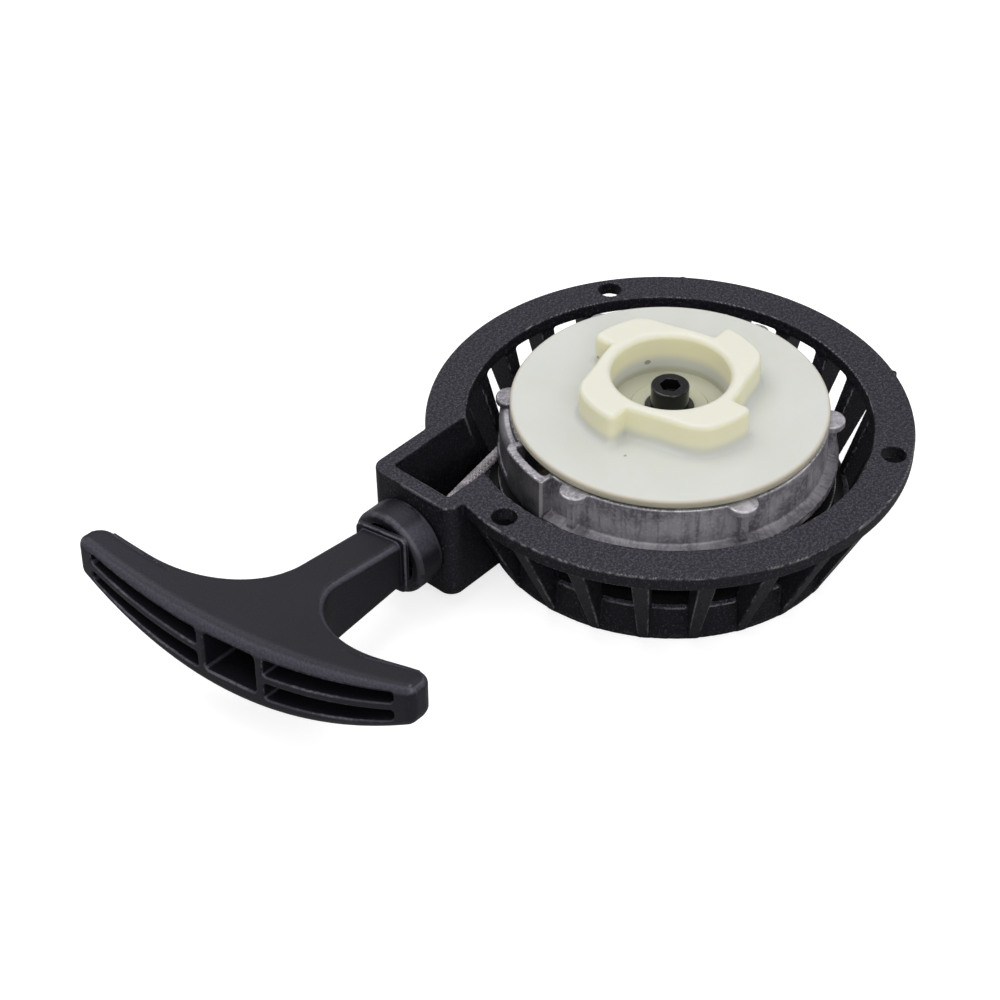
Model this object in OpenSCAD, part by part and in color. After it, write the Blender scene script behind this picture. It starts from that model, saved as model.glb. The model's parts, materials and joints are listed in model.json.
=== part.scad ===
// Recoil starter for a small two-stroke engine, engine side up.
// The mounting face is z = 0, the drive dogs point to +Z and the rope is pulled along +X.

/* [Housing] */
// Outer diameter of the mounting flange
flange_d = 130; // [128:1:138]
// Inner diameter of the mounting flange
flange_bore_d = 108.6; // [107:0.2:110]
// Thickness of the mounting flange
flange_t = 4; // [3:0.5:5]
// Number of mounting holes
bolt_count = 3; // [3:1:4]
// Diameter of the circle that the mounting holes lie on
bolt_circle_d = 120; // [119:0.5:120.5]
// Diameter of a mounting hole
bolt_hole_d = 6.6; // [5.4:0.2:7]
// Angle of the first mounting hole
bolt_angle = -4.9; // [-8:0.1:0]
// Depth from the mounting face to the outside of the floor
housing_depth = 35; // [34:0.5:40]
// Outer diameter of the recoil spring's chamber
chamber_d = 99.6; // [98:0.2:102]
// Height of the chamber's wall above the outside of the floor
chamber_h = 11; // [9:0.5:11.5]
// Wall thickness of chamber and floor
wall = 2.5; // [2:0.25:3]
// Number of ribs between flange and chamber
rib_count = 24; // [20:1:28]
// Width of a rib at the flange
rib_top_w = 4.7; // [3:0.1:6]
// Width of a rib at the floor
rib_foot_w = 2.9; // [2:0.1:4]
// Radial depth of a rib at the flange
rib_depth = 9.5; // [4:0.5:9.5]

/* [Rope box] */
// How far the box stands out beyond the flange
box_reach = 3.1; // [2.5:0.1:8]
// Thickness of the box's walls
box_wall = 4.5; // [3:0.5:5]
// Inside width of the box
box_w = 19.5; // [17:0.5:21]
// Outside height of the box
box_h = 30; // [29:0.5:32]
// Radius of the box's outer corners
box_corner_r = 4; // [2:0.5:4.5]

/* [Centre post] */
// Diameter of the post under the reel
post_d = 12; // [11:0.5:13]
// Diameter of the post under the drive disc
post_top_d = 9; // [8.6:0.2:10]
// Nominal thread of the centre screw
screw_d = 6; // [5:1:6]
// Diameter of the screw's head
head_d = 10.2; // [9:0.2:11]
// Height of the screw's head
head_h = 6; // [5:0.5:7]
// Width across flats of the screw's socket
socket_w = 5; // [4:0.5:6]

/* [Reel] */
// Outer diameter of the cup's wall
cup_d = 85; // [84:0.5:87]
// Wall thickness of the cup
cup_wall = 2.6; // [2:0.2:3.4]
// Height of the cup's rim above the mounting face
cup_rim = 2.5; // [1.5:0.25:3]
// Depth of the cup
cup_depth = 11; // [10:0.5:12]
// Diameter of the reel's two rope flanges
reel_flange_d = 91.6; // [90:0.2:92]
// Diameter of the drum that the rope winds on
drum_d = 71.2; // [69:0.2:72]
// Number of lugs around the cup's rim
lug_count = 6; // [4:1:6]
// Radius of a lug
lug_r = 4; // [3:0.25:4.5]
// Outer diameter of the reel's hub
hub_d = 22; // [21:0.5:24]

/* [Drive disc] */
// Outer diameter of the drive disc
disc_d = 84.8; // [82:0.2:86]
// Thickness of the drive disc's rim
disc_t = 2.5; // [2:0.25:4]
// Gap between the cup's rim and the drive disc
disc_gap = 0.4; // [0.3:0.05:1.5]
// Height of the dog ring above the drive disc
dog_h = 9.3; // [8:0.1:12]
// Diameter of the hole in the dog ring
dog_bore_d = 31.4; // [30:0.2:33]
// Wall thickness of the dog ring between its dogs
dog_wall = 2.7; // [2:0.1:3.5]
// Diameter over the dogs' tips
dog_d = 51.4; // [49:0.2:54]
// Number of dogs
dog_count = 4; // [3:1:4]

/* [Springs and rope] */
// Diameter of the rope
rope_d = 3; // [2.5:0.1:3.4]
// Thickness of the spring strips
strip_t = 0.6; // [0.4:0.1:0.8]
// Number of half turns in the recoil spring
recoil_half_turns = 17; // [11:1:19]
// Number of half turns in the drive spring
drive_half_turns = 13; // [9:1:15]

/* [Handle] */
// Length of the handle from its seat to the front of the grip
handle_l = 69.4; // [66:0.2:76]
// Width of the grip from tip to tip
grip_w = 108; // [104:1:114]
// Height of the grip at its middle
grip_h = 18.4; // [17.6:0.2:20]
// Height of the grip at its tips
grip_tip_h = 10.6; // [9.6:0.2:12]
// Rise of the grip's tips above its middle
grip_rise = 9.4; // [4:0.2:11]
// Thickness of the grip at its tips, front to back
grip_t = 8.9; // [8:0.1:10]
// Height of a slot in the grip's front, at the window
slot_h = 4.6; // [3.8:0.2:4.8]
// Width and height of the neck
neck_w = 13.4; // [12.6:0.1:14]
// Sideways tilt of the handle in its seat
handle_yaw = 5; // [0:0.5:6]
// Upward tilt of the handle in its seat
handle_pitch = 7; // [0:0.5:8]
// Turn of the handle about its own length
handle_roll = 5; // [0:0.5:8]

/* [Fits] */
// Radial clearance of a running fit
run_fit = 0.05; // [0.02:0.01:0.1]
// Gap between faces that turn past each other
face_gap = 0.1; // [0.05:0.05:0.2]
// Gap between moving parts that must not touch
free_gap = 0.3; // [0.3:0.05:0.4]

/* [Hidden] */
$fn = 96;
cut = 0.5; // overrun of every cutting shape
mask = 1.2; // how far a mask reaches beyond what it masks, as a factor

black_plastic = [0.10, 0.10, 0.11];
cast_alloy = [0.66, 0.67, 0.69];
steel = [0.62, 0.63, 0.65];
black_steel = [0.07, 0.07, 0.08];
spring_steel = [0.38, 0.39, 0.43];
bronze = [0.72, 0.58, 0.35];
nylon = [0.90, 0.90, 0.80];
rope_white = [0.80, 0.76, 0.70];

// heights of the stack: the housing from its floor up, the reel from the cup's rim down
floor_z = -housing_depth;
floor_top = floor_z + wall;
boss_h = 2.4;
boss_top = floor_top + boss_h;
hub_low = boss_top + free_gap;
chamber_top = floor_z + chamber_h;
cover_t = 0.8;
washer_t = 0.8;
groove_w = 2 * rope_d + 0.8;
web_t = 2.8;
reel_flange_t = 2.5;
cup_floor = cup_rim - cup_depth;
flange_edge = cup_floor - 1; // top of the upper rope flange's rim
root_z = flange_edge - 0.5;
web_z = cup_floor - web_t;
groove_z = web_z - groove_w;
rope_z = web_z - groove_w / 2;
reel_low = groove_z - reel_flange_t;
shoulder_z = cup_floor + face_gap;
arbor_z = shoulder_z + washer_t + face_gap;
disc_low = cup_rim + disc_gap;
disc_top = disc_low + disc_t;
dog_top = disc_top + dog_h;
step_z = cup_rim - 1.6; // underside of the disc's step inside the cup
bush_top = cup_rim + 0.6;
screw_seat = bush_top + face_gap;
head_z = screw_seat + washer_t;

// housing
flange_r = flange_d / 2;
bore_r = flange_bore_d / 2;
chamber_r = chamber_d / 2;
chamber_in = chamber_r - wall;
chamfer = 1.5;
rib_angle = 2.5;
rib_top_r = flange_r - 1;
bolt_r = bolt_circle_d / 2;
box_floor = 3;
box_side = -20.85;
box_far = box_side - box_w;
box_end = flange_r + box_reach;
box_in = box_end - box_wall;

// centre post and bushes
post_r = post_d / 2;
post_top_r = post_top_d / 2;
post_sink = 1.1;
boss_r = post_r + 3.5;
thread_l = 14;
bush_t = 2;
reel_bore_r = post_r + run_fit + bush_t;
disc_bore_r = post_top_r + run_fit + bush_t;

// reel
cup_r = cup_d / 2;
cup_in = cup_r - cup_wall;
reel_flange_r = reel_flange_d / 2;
drum_r = drum_d / 2;
drum_wall = 3;
hub_r = hub_d / 2;
lug_angle = 4.5;
lug_t = 2;
lug_rib_w = 2.4;
pocket_from = 331;
pocket_to = 354;
pocket_bulge = 3.9;
pocket_r = cup_r + pocket_bulge;
pocket_wall = 2.4;
pocket_end = 3; // angle that the pocket's end walls take
guard_from = 301;
guard_r = reel_flange_r - 0.5;
guard_low = 1.5; // how far the guard stays below the cup's rim
knot_angle = 120;
knot_r = 3;

// drive disc
disc_r = disc_d / 2;
dog_bore_r = dog_bore_d / 2;
dog_wall_r = dog_bore_r + dog_wall;
dog_r = dog_d / 2;
dog_angle = 1;
dog_arc = 36;
dog_ramp = 72;
arbor_r = 11.5;
arbor_top = step_z + cut;
well_z = cup_rim + 0.1; // floor of the ring-shaped well around the bush
well_r = disc_bore_r + 3.85;

// springs
hook_l = 1.4;
hook_gap = 0.4;
anchor_angle = 200;
anchor_l = 5.4;
anchor_w = 4;
tab_l = 3.2;
recoil_r = chamber_in - anchor_l - free_gap - strip_t;
recoil_hub_angle = anchor_angle + recoil_half_turns * 180;
tab_angle = pocket_from + pocket_end + 3;
drive_r = cup_in - 1.4;
drive_hook_angle = tab_angle - drive_half_turns * 180;

// rope
rope_r = rope_d / 2;
coil_gap = 0.1;
coil_r1 = drum_r + coil_gap + rope_r;
coil_r2 = coil_r1 + rope_d * 0.93;
coil_half = groove_w / 2 - coil_gap - rope_r;

// seat of the handle in the box's end wall
seat_y = box_side - box_w / 2;
seat_z = -16.2;
eyelet_r = rope_r + 1.1;
eyelet_body_r = eyelet_r + 2;
eyelet_flange_r = eyelet_body_r + 1.8;
eyelet_flange_t = 1;
collar_l = 9;
collar_r = 12.1;
collar_bore_r = 9.6;
collar_base = 2.4;
collar_chamfer = 3;

// straight run of the rope, from where it leaves the coil to where it bends into the eyelet
bend_x = box_in + 2;
bend = [bend_x, seat_y];
leave_angle = atan2(seat_y, bend_x) - acos(coil_r2 / norm(bend));
leave = coil_r2 * [cos(leave_angle), sin(leave_angle)];
run_l = norm(bend - leave);

// handle, along its neck from the outside of the box
tilt = sin(handle_yaw) + sin(handle_pitch);
spigot_r = 6.2;
spigot_start = collar_base + free_gap + spigot_r * tilt;
neck_half = neck_w / 2;
neck_start = collar_l + free_gap + neck_half * (1 + sin(handle_roll)) * tilt;
half_w = grip_w / 2;
flare_start = 36;
flare_w = 37;
front_bow = 3.6;
grip_back = handle_l - front_bow - grip_t;
grip_root_l = 4;
grip_root = flare_start + grip_root_l;
tip_r = 3;
window_half_w = 8.3;
window_half_h = 5.3;
window_depth = 21;
window_floor = handle_l - window_depth;
slot_margin = 2.5;
slot_tip_margin = 5.3;
slot_start = window_half_w + slot_margin;
slot_end = half_w - slot_tip_margin;
slot_depth = 7;
slot_tip_h = slot_h / 2;
slot_rib = 2.2; // height of the rib between the two rows of slots
tail_gap = 0.2;
end_knot_r = 4;
end_washer_t = 1;
end_knot_x = window_floor + end_washer_t + knot_half_l(end_knot_r);
grip_steps = 12;
slot_steps = 6;
flare_steps = 8;
widths = [for (i = [-grip_steps:grip_steps]) half_w * i / grip_steps];

// half the length, along the rope, of a knot of radius r
function knot_half_l(r) = 0.45 * r;

// the grip at distance w from its middle
function bow(w) = pow(w / half_w, 2);
function front_at(w) = handle_l - front_bow * bow(w);
function rise_at(w) = grip_rise * bow(w) - 0.6;
function half_h_at(w) = (grip_h - (grip_h - grip_tip_h) * bow(w)) / 2;
function slot_h_at(w) = slot_h - (slot_h - slot_tip_h) * bow(w);

// ---------- shapes used more than once ----------

module ring(r_in, r_out, z0, z1) {
    translate([0, 0, z0]) difference() {
        cylinder(r = r_out, h = z1 - z0);
        translate([0, 0, -cut]) cylinder(r = r_in, h = z1 - z0 + 2 * cut);
    }
}

// part of a solid disc between two angles
module sector(r, from, to, z0, z1) {
    steps = 6;
    translate([0, 0, z0]) linear_extrude(z1 - z0) intersection() {
        circle(r);
        polygon(concat([[0, 0]], [for (i = [0:steps])
            let (a = from + (to - from) * i / steps) mask * r * [cos(a), sin(a)]]));
    }
}

module rod(r, x0, x1) {
    translate([x0, 0, 0]) rotate([0, 90, 0]) cylinder(r = r, h = x1 - x0);
}

// stopper knot around the rope, centred at x
module knot(r, x) {
    half_l = knot_half_l(r);
    translate([x, 0, 0]) rotate([0, 90, 0]) rotate_extrude() {
        translate([r - half_l, 0]) circle(half_l);
        translate([0, -half_l]) square([r - half_l, 2 * half_l]);
    }
}

// spiral strip of half circles, from its outer end at angle 0 inwards and anticlockwise;
// a tab at the outer end and a hook at the inner end hold it
module spiral(r_out, r_in, half_turns, z0, h, tab) {
    step = (r_out - r_in) / half_turns;
    for (i = [0:half_turns - 1])
        rotate([0, 0, i * 180]) translate([step / 2, 0, z0])
            rotate_extrude(angle = 180) translate([r_out - (i + 0.5) * step, 0]) square([strip_t, h]);
    translate([r_out, 0, z0]) cube([tab, strip_t, h]);
    rotate([0, 0, half_turns * 180]) translate([r_in - hook_l, -strip_t, z0])
        cube([hook_l + strip_t, strip_t, h]);
}

// slot that takes a spring's inner hook, in a hub of radius r
module hook_slot(r, z0, z1) {
    translate([r - hook_l - hook_gap, -strip_t - hook_gap, z0])
        cube([hook_l + 2 * hook_gap + cut, strip_t + 2 * hook_gap, z1 - z0]);
}

// ---------- housing and what is fixed to it ----------

module rib_blanks() {
    for (i = [0:rib_count - 1]) rotate([0, 0, rib_angle + i * 360 / rib_count]) rotate([90, 0, 90])
        linear_extrude(flange_r) polygon([
            [-rib_foot_w / 2, floor_z], [rib_foot_w / 2, floor_z],
            [rib_top_w / 2, -flange_t], [-rib_top_w / 2, -flange_t]]);
}

module ribs() {
    intersection() {
        rib_blanks();
        rotate_extrude() polygon([
            [chamber_r, floor_z], [rib_top_r, -flange_t], [rib_top_r - rib_depth, -flange_t],
            [chamber_r - wall / 2, chamber_top], [chamber_r - wall / 2, floor_z]]);
    }
}

module box_outline(x0, x1, y0, y1, r) {
    translate([x0, y0]) square([x1 - x0 - r, y1 - y0]);
    translate([x0, y0 + r]) square([x1 - x0, y1 - y0 - 2 * r]);
    for (y = [y0 + r, y1 - r]) translate([x1 - r, y]) circle(r);
}

module box_block() {
    difference() {
        translate([0, 0, -box_h]) linear_extrude(box_h)
            box_outline(chamber_r / 2, box_end, box_far - box_wall, box_side + box_wall, box_corner_r);
        translate([0, 0, -box_h - cut])
            cylinder(r1 = chamber_r - chamfer, r2 = bore_r, h = box_h + 2 * cut);
    }
}

module box_space() {
    translate([0, 0, box_floor - box_h]) linear_extrude(box_h)
        box_outline(chamber_r / 2, box_in, box_far, box_side, chamfer);
}

module chamber() {
    rotate_extrude() polygon([
        [0, floor_z], [chamber_r - chamfer, floor_z], [chamber_r, floor_z + chamfer],
        [chamber_r, chamber_top], [chamber_in, chamber_top], [chamber_in, floor_top],
        [boss_r, floor_top], [boss_r, boss_top], [0, boss_top]]);
}

// block that the recoil spring's outer tab pulls against
module spring_anchor() {
    rotate([0, 0, anchor_angle])
        translate([chamber_in - anchor_l, strip_t + face_gap, floor_top - cut])
            cube([anchor_l + wall / 2, anchor_w, chamber_top - floor_top - face_gap + cut]);
}

module housing() {
    color(black_plastic) difference() {
        union() {
            difference() {
                union() {
                    ring(bore_r, flange_r, -flange_t, 0);
                    ribs();
                    box_block();
                }
                box_space();
            }
            chamber();
            spring_anchor();
        }
        for (i = [0:bolt_count - 1]) rotate([0, 0, bolt_angle + i * 360 / bolt_count])
            translate([bolt_r, 0, -flange_t - cut]) cylinder(d = bolt_hole_d, h = flange_t + 2 * cut);
        translate([0, 0, floor_top - post_sink]) cylinder(r = post_r, h = boss_h + post_sink + cut);
        translate([0, seat_y, seat_z]) rod(eyelet_body_r, box_in - cut, box_end + cut);
    }
}

module centre_post() {
    low = floor_top - post_sink;
    color(steel) difference() {
        union() {
            translate([0, 0, low]) cylinder(r = post_r, h = shoulder_z - low);
            translate([0, 0, low]) cylinder(r = post_top_r, h = screw_seat - low);
        }
        translate([0, 0, head_z - thread_l]) cylinder(d = screw_d, h = thread_l);
    }
}

module recoil_spring() {
    low = floor_top + free_gap;
    color(spring_steel) rotate([0, 0, anchor_angle])
        spiral(recoil_r, hub_r + face_gap, recoil_half_turns, low, chamber_top - free_gap - low, tab_l);
}

module spring_cover() {
    color(black_steel) ring(hub_r + bush_t, chamber_r - wall / 2 - free_gap, chamber_top, chamber_top + cover_t);
}

module rope_eyelet() {
    color(bronze) translate([0, seat_y, seat_z]) difference() {
        union() {
            rod(eyelet_body_r, box_in - eyelet_flange_t, box_end + collar_base);
            rod(eyelet_flange_r, box_in - eyelet_flange_t, box_in);
        }
        rod(eyelet_r, box_in - 2 * eyelet_flange_t, box_end + collar_base + cut);
    }
}

module rope_collar() {
    color(black_plastic) translate([box_end, seat_y, seat_z]) rotate([0, 90, 0]) rotate_extrude() polygon([
        [eyelet_body_r, 0], [collar_r, 0], [collar_r, collar_l - collar_chamfer],
        [collar_r - chamfer, collar_l], [collar_bore_r, collar_l], [collar_bore_r, collar_base],
        [eyelet_body_r, collar_base]]);
}

// frame of the rope's straight run: +X from the coil to the eyelet
module along_run() {
    translate([leave[0], leave[1], rope_z]) rotate([0, 0, leave_angle + 90])
        rotate([0, -atan2(seat_z - rope_z, run_l), 0]) children();
}

module rope_run() {
    clear_r = coil_r2 + rope_d + free_gap;
    color(rope_white) along_run() rod(rope_r, sqrt(pow(clear_r, 2) - pow(coil_r2, 2)), run_l - free_gap);
}

module thrust_washer() {
    color(steel) ring(post_top_r + run_fit, post_r + 3, shoulder_z, shoulder_z + washer_t);
}

module retaining_washer() {
    color(black_steel) ring(screw_d / 2, head_d / 2 + 0.8, screw_seat, head_z);
}

module centre_screw() {
    head_chamfer = 0.6;
    socket_depth = 3.5;
    color(black_steel) translate([0, 0, head_z]) difference() {
        union() {
            cylinder(d = head_d, h = head_h - head_chamfer);
            translate([0, 0, head_h - head_chamfer])
                cylinder(d1 = head_d, d2 = head_d - 2 * head_chamfer, h = head_chamfer);
            translate([0, 0, -thread_l]) cylinder(d = screw_d, h = thread_l + cut);
        }
        translate([0, 0, head_h - socket_depth])
            cylinder(d = socket_w / cos(30), h = socket_depth + cut, $fn = 6);
    }
}

// ---------- reel and what turns with it ----------

module reel_body() {
    rotate_extrude() polygon([
        [reel_bore_r, hub_low], [hub_r, hub_low], [hub_r, web_z], [drum_r - drum_wall, web_z],
        [drum_r - drum_wall, reel_low], [reel_flange_r, reel_low], [reel_flange_r, groove_z],
        [drum_r, groove_z], [drum_r, web_z], [reel_flange_r, web_z], [reel_flange_r, flange_edge],
        [cup_r, cup_floor], [cup_r, cup_rim], [cup_in, cup_rim], [cup_in, cup_floor],
        [reel_bore_r, cup_floor]]);
}

module lugs() {
    for (i = [0:lug_count - 1]) rotate([0, 0, lug_angle + i * 360 / lug_count]) {
        translate([cup_r, 0, cup_rim - lug_t]) cylinder(r = lug_r, h = lug_t);
        translate([cup_in, -lug_rib_w / 2, root_z])
            cube([cup_wall + lug_r / 2, lug_rib_w, cup_rim - lug_t / 2 - root_z]);
    }
}

// what stands out from the cup's wall, each piece rooted inside the wall
module cup_outside() {
    difference() {
        union() {
            lugs();
            sector(pocket_r, pocket_from, pocket_to, root_z, cup_rim);
            sector(guard_r, guard_from, pocket_from + 1, root_z, cup_rim - guard_low);
        }
        translate([0, 0, root_z - cut]) cylinder(r = cup_r - cup_wall / 2, h = cup_rim - root_z + 2 * cut);
    }
}

// slot for the drive spring's tab, sunk a little into the cup's floor
module pocket_space() {
    low = cup_floor - cut;
    difference() {
        sector(pocket_r - pocket_wall, pocket_from + pocket_end, pocket_to - pocket_end + 1,
            low, cup_rim + cut);
        translate([0, 0, low - cut]) cylinder(r = cup_in - 1, h = cup_rim - low + 3 * cut);
    }
}

module reel() {
    color(cast_alloy) difference() {
        union() {
            rotate([0, 0, lug_angle + 180 / lug_count]) reel_body();
            cup_outside();
        }
        pocket_space();
        rotate([0, 0, knot_angle]) translate([0, 0, rope_z]) rod(rope_r, drum_r - drum_wall - 2, drum_r + 1);
        rotate([0, 0, recoil_hub_angle]) hook_slot(hub_r, hub_low - cut, chamber_top);
    }
}

module reel_bush() {
    color(bronze) ring(post_r + run_fit, reel_bore_r, hub_low, cup_floor);
}

module rope_coil() {
    color(rope_white) rotate_extrude() {
        for (r = [coil_r1, coil_r2], z = [-coil_half, coil_half]) translate([r, rope_z + z]) circle(rope_r);
        translate([drum_r + coil_gap, rope_z - coil_half])
            square([coil_r2 - drum_r - coil_gap, 2 * coil_half]);
        translate([coil_r1, rope_z - coil_half - rope_r])
            square([coil_r2 - coil_r1, 2 * (coil_half + rope_r)]);
    }
}

module reel_knot() {
    centre = drum_r - drum_wall - coil_gap - knot_half_l(knot_r);
    color(rope_white) rotate([0, 0, knot_angle]) translate([0, 0, rope_z]) {
        knot(knot_r, centre);
        rod(rope_r, centre, drum_r);
    }
}

// ---------- drive disc and what turns with it ----------

// one dog: a straight ramp up from the ring, an arc at full radius, then a radial face at angle 0
module dog() {
    steps = 4;
    intersection() {
        circle(dog_r);
        polygon(concat(
            [[dog_bore_r, 0], [mask * dog_r, 0]],
            [for (i = [1:steps]) let (a = -dog_arc * i / steps)
                (i == steps ? 1 : mask) * dog_r * [cos(a), sin(a)]],
            [for (r = [dog_wall_r, dog_bore_r]) r * [cos(dog_ramp), -sin(dog_ramp)]]));
    }
}

module drive_disc() {
    color(nylon) difference() {
        union() {
            translate([0, 0, arbor_z]) cylinder(r = arbor_r, h = arbor_top - arbor_z);
            translate([0, 0, step_z]) cylinder(r = dog_wall_r, h = disc_top - step_z);
            translate([0, 0, disc_low]) cylinder(r = disc_r, h = disc_t);
            translate([0, 0, disc_low]) linear_extrude(dog_top - disc_low) {
                circle(dog_wall_r);
                for (i = [0:dog_count - 1]) rotate([0, 0, dog_angle + i * 360 / dog_count]) dog();
            }
        }
        translate([0, 0, bush_top]) cylinder(r = dog_bore_r, h = dog_top);
        ring(well_r, dog_bore_r, well_z, dog_top);
        translate([0, 0, arbor_z - cut]) cylinder(r = disc_bore_r, h = dog_top);
        rotate([0, 0, drive_hook_angle]) mirror([0, 1, 0]) hook_slot(arbor_r, arbor_z - cut, step_z);
    }
}

module disc_bush() {
    color(bronze) ring(post_top_r + run_fit, disc_bore_r, arbor_z, bush_top);
}

module drive_spring() {
    low = cup_floor + free_gap;
    color(spring_steel) rotate([0, 0, tab_angle]) mirror([0, 1, 0])
        spiral(drive_r, arbor_r + face_gap, drive_half_turns, low, step_z - free_gap - low, tab_l);
}

// ---------- handle and what travels with it ----------

// frame of the handle: +X along its neck, from the outside of the box
module handle_frame() {
    translate([box_end, seat_y, seat_z]) rotate([0, 0, handle_yaw]) rotate([0, -handle_pitch, 0])
        rotate([handle_roll, 0, 0]) children();
}

// neck and grip seen from above; the neck flares into the grip along a quarter ellipse
module plan_outline() {
    flare = [for (i = [0:flare_steps]) let (a = i * 90 / flare_steps)
        [flare_start + (grip_back - flare_start) * sin(a), flare_w - (flare_w - neck_half) * cos(a)]];
    tip = [for (a = [0, 45, 90]) [grip_back + tip_r * (1 - cos(a)), half_w - tip_r * (1 - sin(a))]];
    side = concat([[neck_start, neck_half]], flare, tip);
    front = [for (w = widths) [front_at(w) - (abs(w) == half_w ? 1 : 0), -w]];
    polygon(concat(side, front, [for (i = [len(side) - 1:-1:0]) [side[i][0], -side[i][1]]]));
}

// grip seen from the front: a bow whose tips rise and thin out
module front_outline() {
    polygon(concat([for (w = widths) [w, rise_at(w) - half_h_at(w)]],
        [for (i = [len(widths) - 1:-1:0]) [widths[i], rise_at(widths[i]) + half_h_at(widths[i])]]));
}

module neck_side_outline() {
    low = rise_at(0) - half_h_at(0);
    high = rise_at(0) + half_h_at(0);
    polygon([[neck_start, -neck_half], [grip_root, low], [handle_l, low],
        [handle_l, high], [grip_root, high], [neck_start, neck_half]]);
}

module grip_block() {
    intersection() {
        translate([0, 0, -grip_h]) linear_extrude(3 * grip_h) plan_outline();
        union() {
            translate([flare_start, 0, 0]) rotate([90, 0, 90]) linear_extrude(handle_l) front_outline();
            translate([0, neck_half, 0]) rotate([90, 0, 0]) linear_extrude(neck_w) neck_side_outline();
        }
    }
}

// one slot beside the window, above or below the middle rib, following the bow of the grip
module slot_outline(up) {
    ws = [for (i = [0:slot_steps]) slot_start + (slot_end - slot_start) * i / slot_steps];
    near = up * slot_rib / 2;
    polygon(concat([for (w = ws) [w, rise_at(w) + near]],
        [for (i = [slot_steps:-1:0]) [ws[i], rise_at(ws[i]) + near + up * slot_h_at(ws[i])]]));
}

module grip_slots() {
    intersection() {
        for (side = [0, 1], up = [-1, 1]) mirror([0, side, 0])
            translate([grip_back, 0, 0]) rotate([90, 0, 90]) linear_extrude(handle_l) slot_outline(up);
        translate([0, 0, -grip_h]) linear_extrude(3 * grip_h) polygon(concat(
            [for (w = widths) [front_at(w) - slot_depth, w]],
            [[handle_l + 1, half_w], [handle_l + 1, -half_w]]));
    }
}

module pull_handle() {
    color(black_plastic) handle_frame() difference() {
        union() {
            grip_block();
            rod(spigot_r, spigot_start, neck_start + cut);
        }
        translate([window_floor, -window_half_w, -window_half_h])
            cube([handle_l, 2 * window_half_w, 2 * window_half_h]);
        grip_slots();
        rod(rope_r + tail_gap, 0, window_floor + cut);
    }
}

module rope_tail() {
    color(rope_white) handle_frame() rod(rope_r, bend_x - box_end + free_gap, end_knot_x);
}

module handle_washer() {
    color(steel) handle_frame() difference() {
        rod(window_half_h - free_gap, window_floor, window_floor + end_washer_t);
        rod(rope_r, window_floor - cut, window_floor + 2 * end_washer_t);
    }
}

module handle_knot() {
    color(rope_white) handle_frame() difference() {
        knot(end_knot_r, end_knot_x);
        rod(rope_r, window_floor, end_knot_x);
    }
}

housing();
centre_post();
recoil_spring();
spring_cover();
rope_eyelet();
rope_collar();
rope_run();
thrust_washer();
retaining_washer();
centre_screw();
reel();
reel_bush();
rope_coil();
reel_knot();
drive_disc();
disc_bush();
drive_spring();
rope_tail();
pull_handle();
handle_washer();
handle_knot();
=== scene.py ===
# %% [markdown]
# # A recoil starter, dressed for the camera
#
# A recoil starter is a small winch. A rope on a spring-loaded reel turns a nylon disc, and the dogs on that
# disc drive the engine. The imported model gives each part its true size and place. This script gives the
# parts the rounded edges, the braided rope and the finishes that the real materials have.

# %% Load the frame
import json
import math

import bmesh
import bpy
import numpy as np
from mathutils import Matrix, Vector


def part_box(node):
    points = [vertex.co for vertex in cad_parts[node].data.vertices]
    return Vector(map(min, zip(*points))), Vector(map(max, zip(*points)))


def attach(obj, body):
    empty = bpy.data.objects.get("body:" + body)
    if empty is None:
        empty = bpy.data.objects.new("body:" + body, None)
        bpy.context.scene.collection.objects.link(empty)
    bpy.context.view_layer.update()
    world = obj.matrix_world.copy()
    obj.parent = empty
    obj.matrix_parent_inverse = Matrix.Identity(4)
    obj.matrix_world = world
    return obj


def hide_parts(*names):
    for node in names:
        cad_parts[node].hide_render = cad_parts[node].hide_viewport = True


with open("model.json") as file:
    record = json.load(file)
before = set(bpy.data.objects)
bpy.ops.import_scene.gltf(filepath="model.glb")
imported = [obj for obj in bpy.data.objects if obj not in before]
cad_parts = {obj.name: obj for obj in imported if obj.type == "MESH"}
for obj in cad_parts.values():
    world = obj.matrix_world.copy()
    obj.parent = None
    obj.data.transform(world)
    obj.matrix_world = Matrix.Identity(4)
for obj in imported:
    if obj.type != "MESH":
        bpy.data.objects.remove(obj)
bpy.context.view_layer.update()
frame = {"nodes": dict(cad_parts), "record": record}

MM = 0.001
print("parts of the model:", len(frame["nodes"]))

# %% [markdown]
# ## Three helpers
#
# The sky, the finishes and the rope are all built from nodes. Written out, each node needs a line to make it
# and a line for every value and link. One function does all of that, and a second does the same for a sum.
# The third puts a new object into the scene, because Blender makes an object without showing it anywhere.

# %% Helpers for nodes and objects
def put(tree, kind, inputs=None, **settings):
    """A node with its settings and inputs; an input is another node's socket or a plain value."""
    node = tree.nodes.new(kind)
    for key, value in settings.items():
        setattr(node, key, value)
    for key, value in (inputs or {}).items():
        if isinstance(value, bpy.types.NodeSocket):
            tree.links.new(value, node.inputs[key])
        else:
            node.inputs[key].default_value = value
    return node


def sums(tree, operation, *values):
    """Result of one sum on values or sockets."""
    return put(tree, "ShaderNodeMath", dict(enumerate(values)), operation=operation).outputs[0]


def into_scene(name, data):
    """New object in the scene, from a mesh, a curve, a lamp or a camera."""
    thing = bpy.data.objects.new(name, data)
    bpy.context.scene.collection.objects.link(thing)
    return thing


# %% [markdown]
# ## The camera
#
# The camera stands 574 mm from the origin, which is the middle of the mounting face. It is 38 degrees up and
# 37 degrees round from the direction in which the rope is pulled. It looks a few degrees aside of the
# origin, so its direction is a plain look at the origin that is then turned a little about its own axes. A
# rotation matrix is easier to trust here than three Euler angles, because its rows are the directions that
# the camera calls right, down and forwards.

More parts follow.
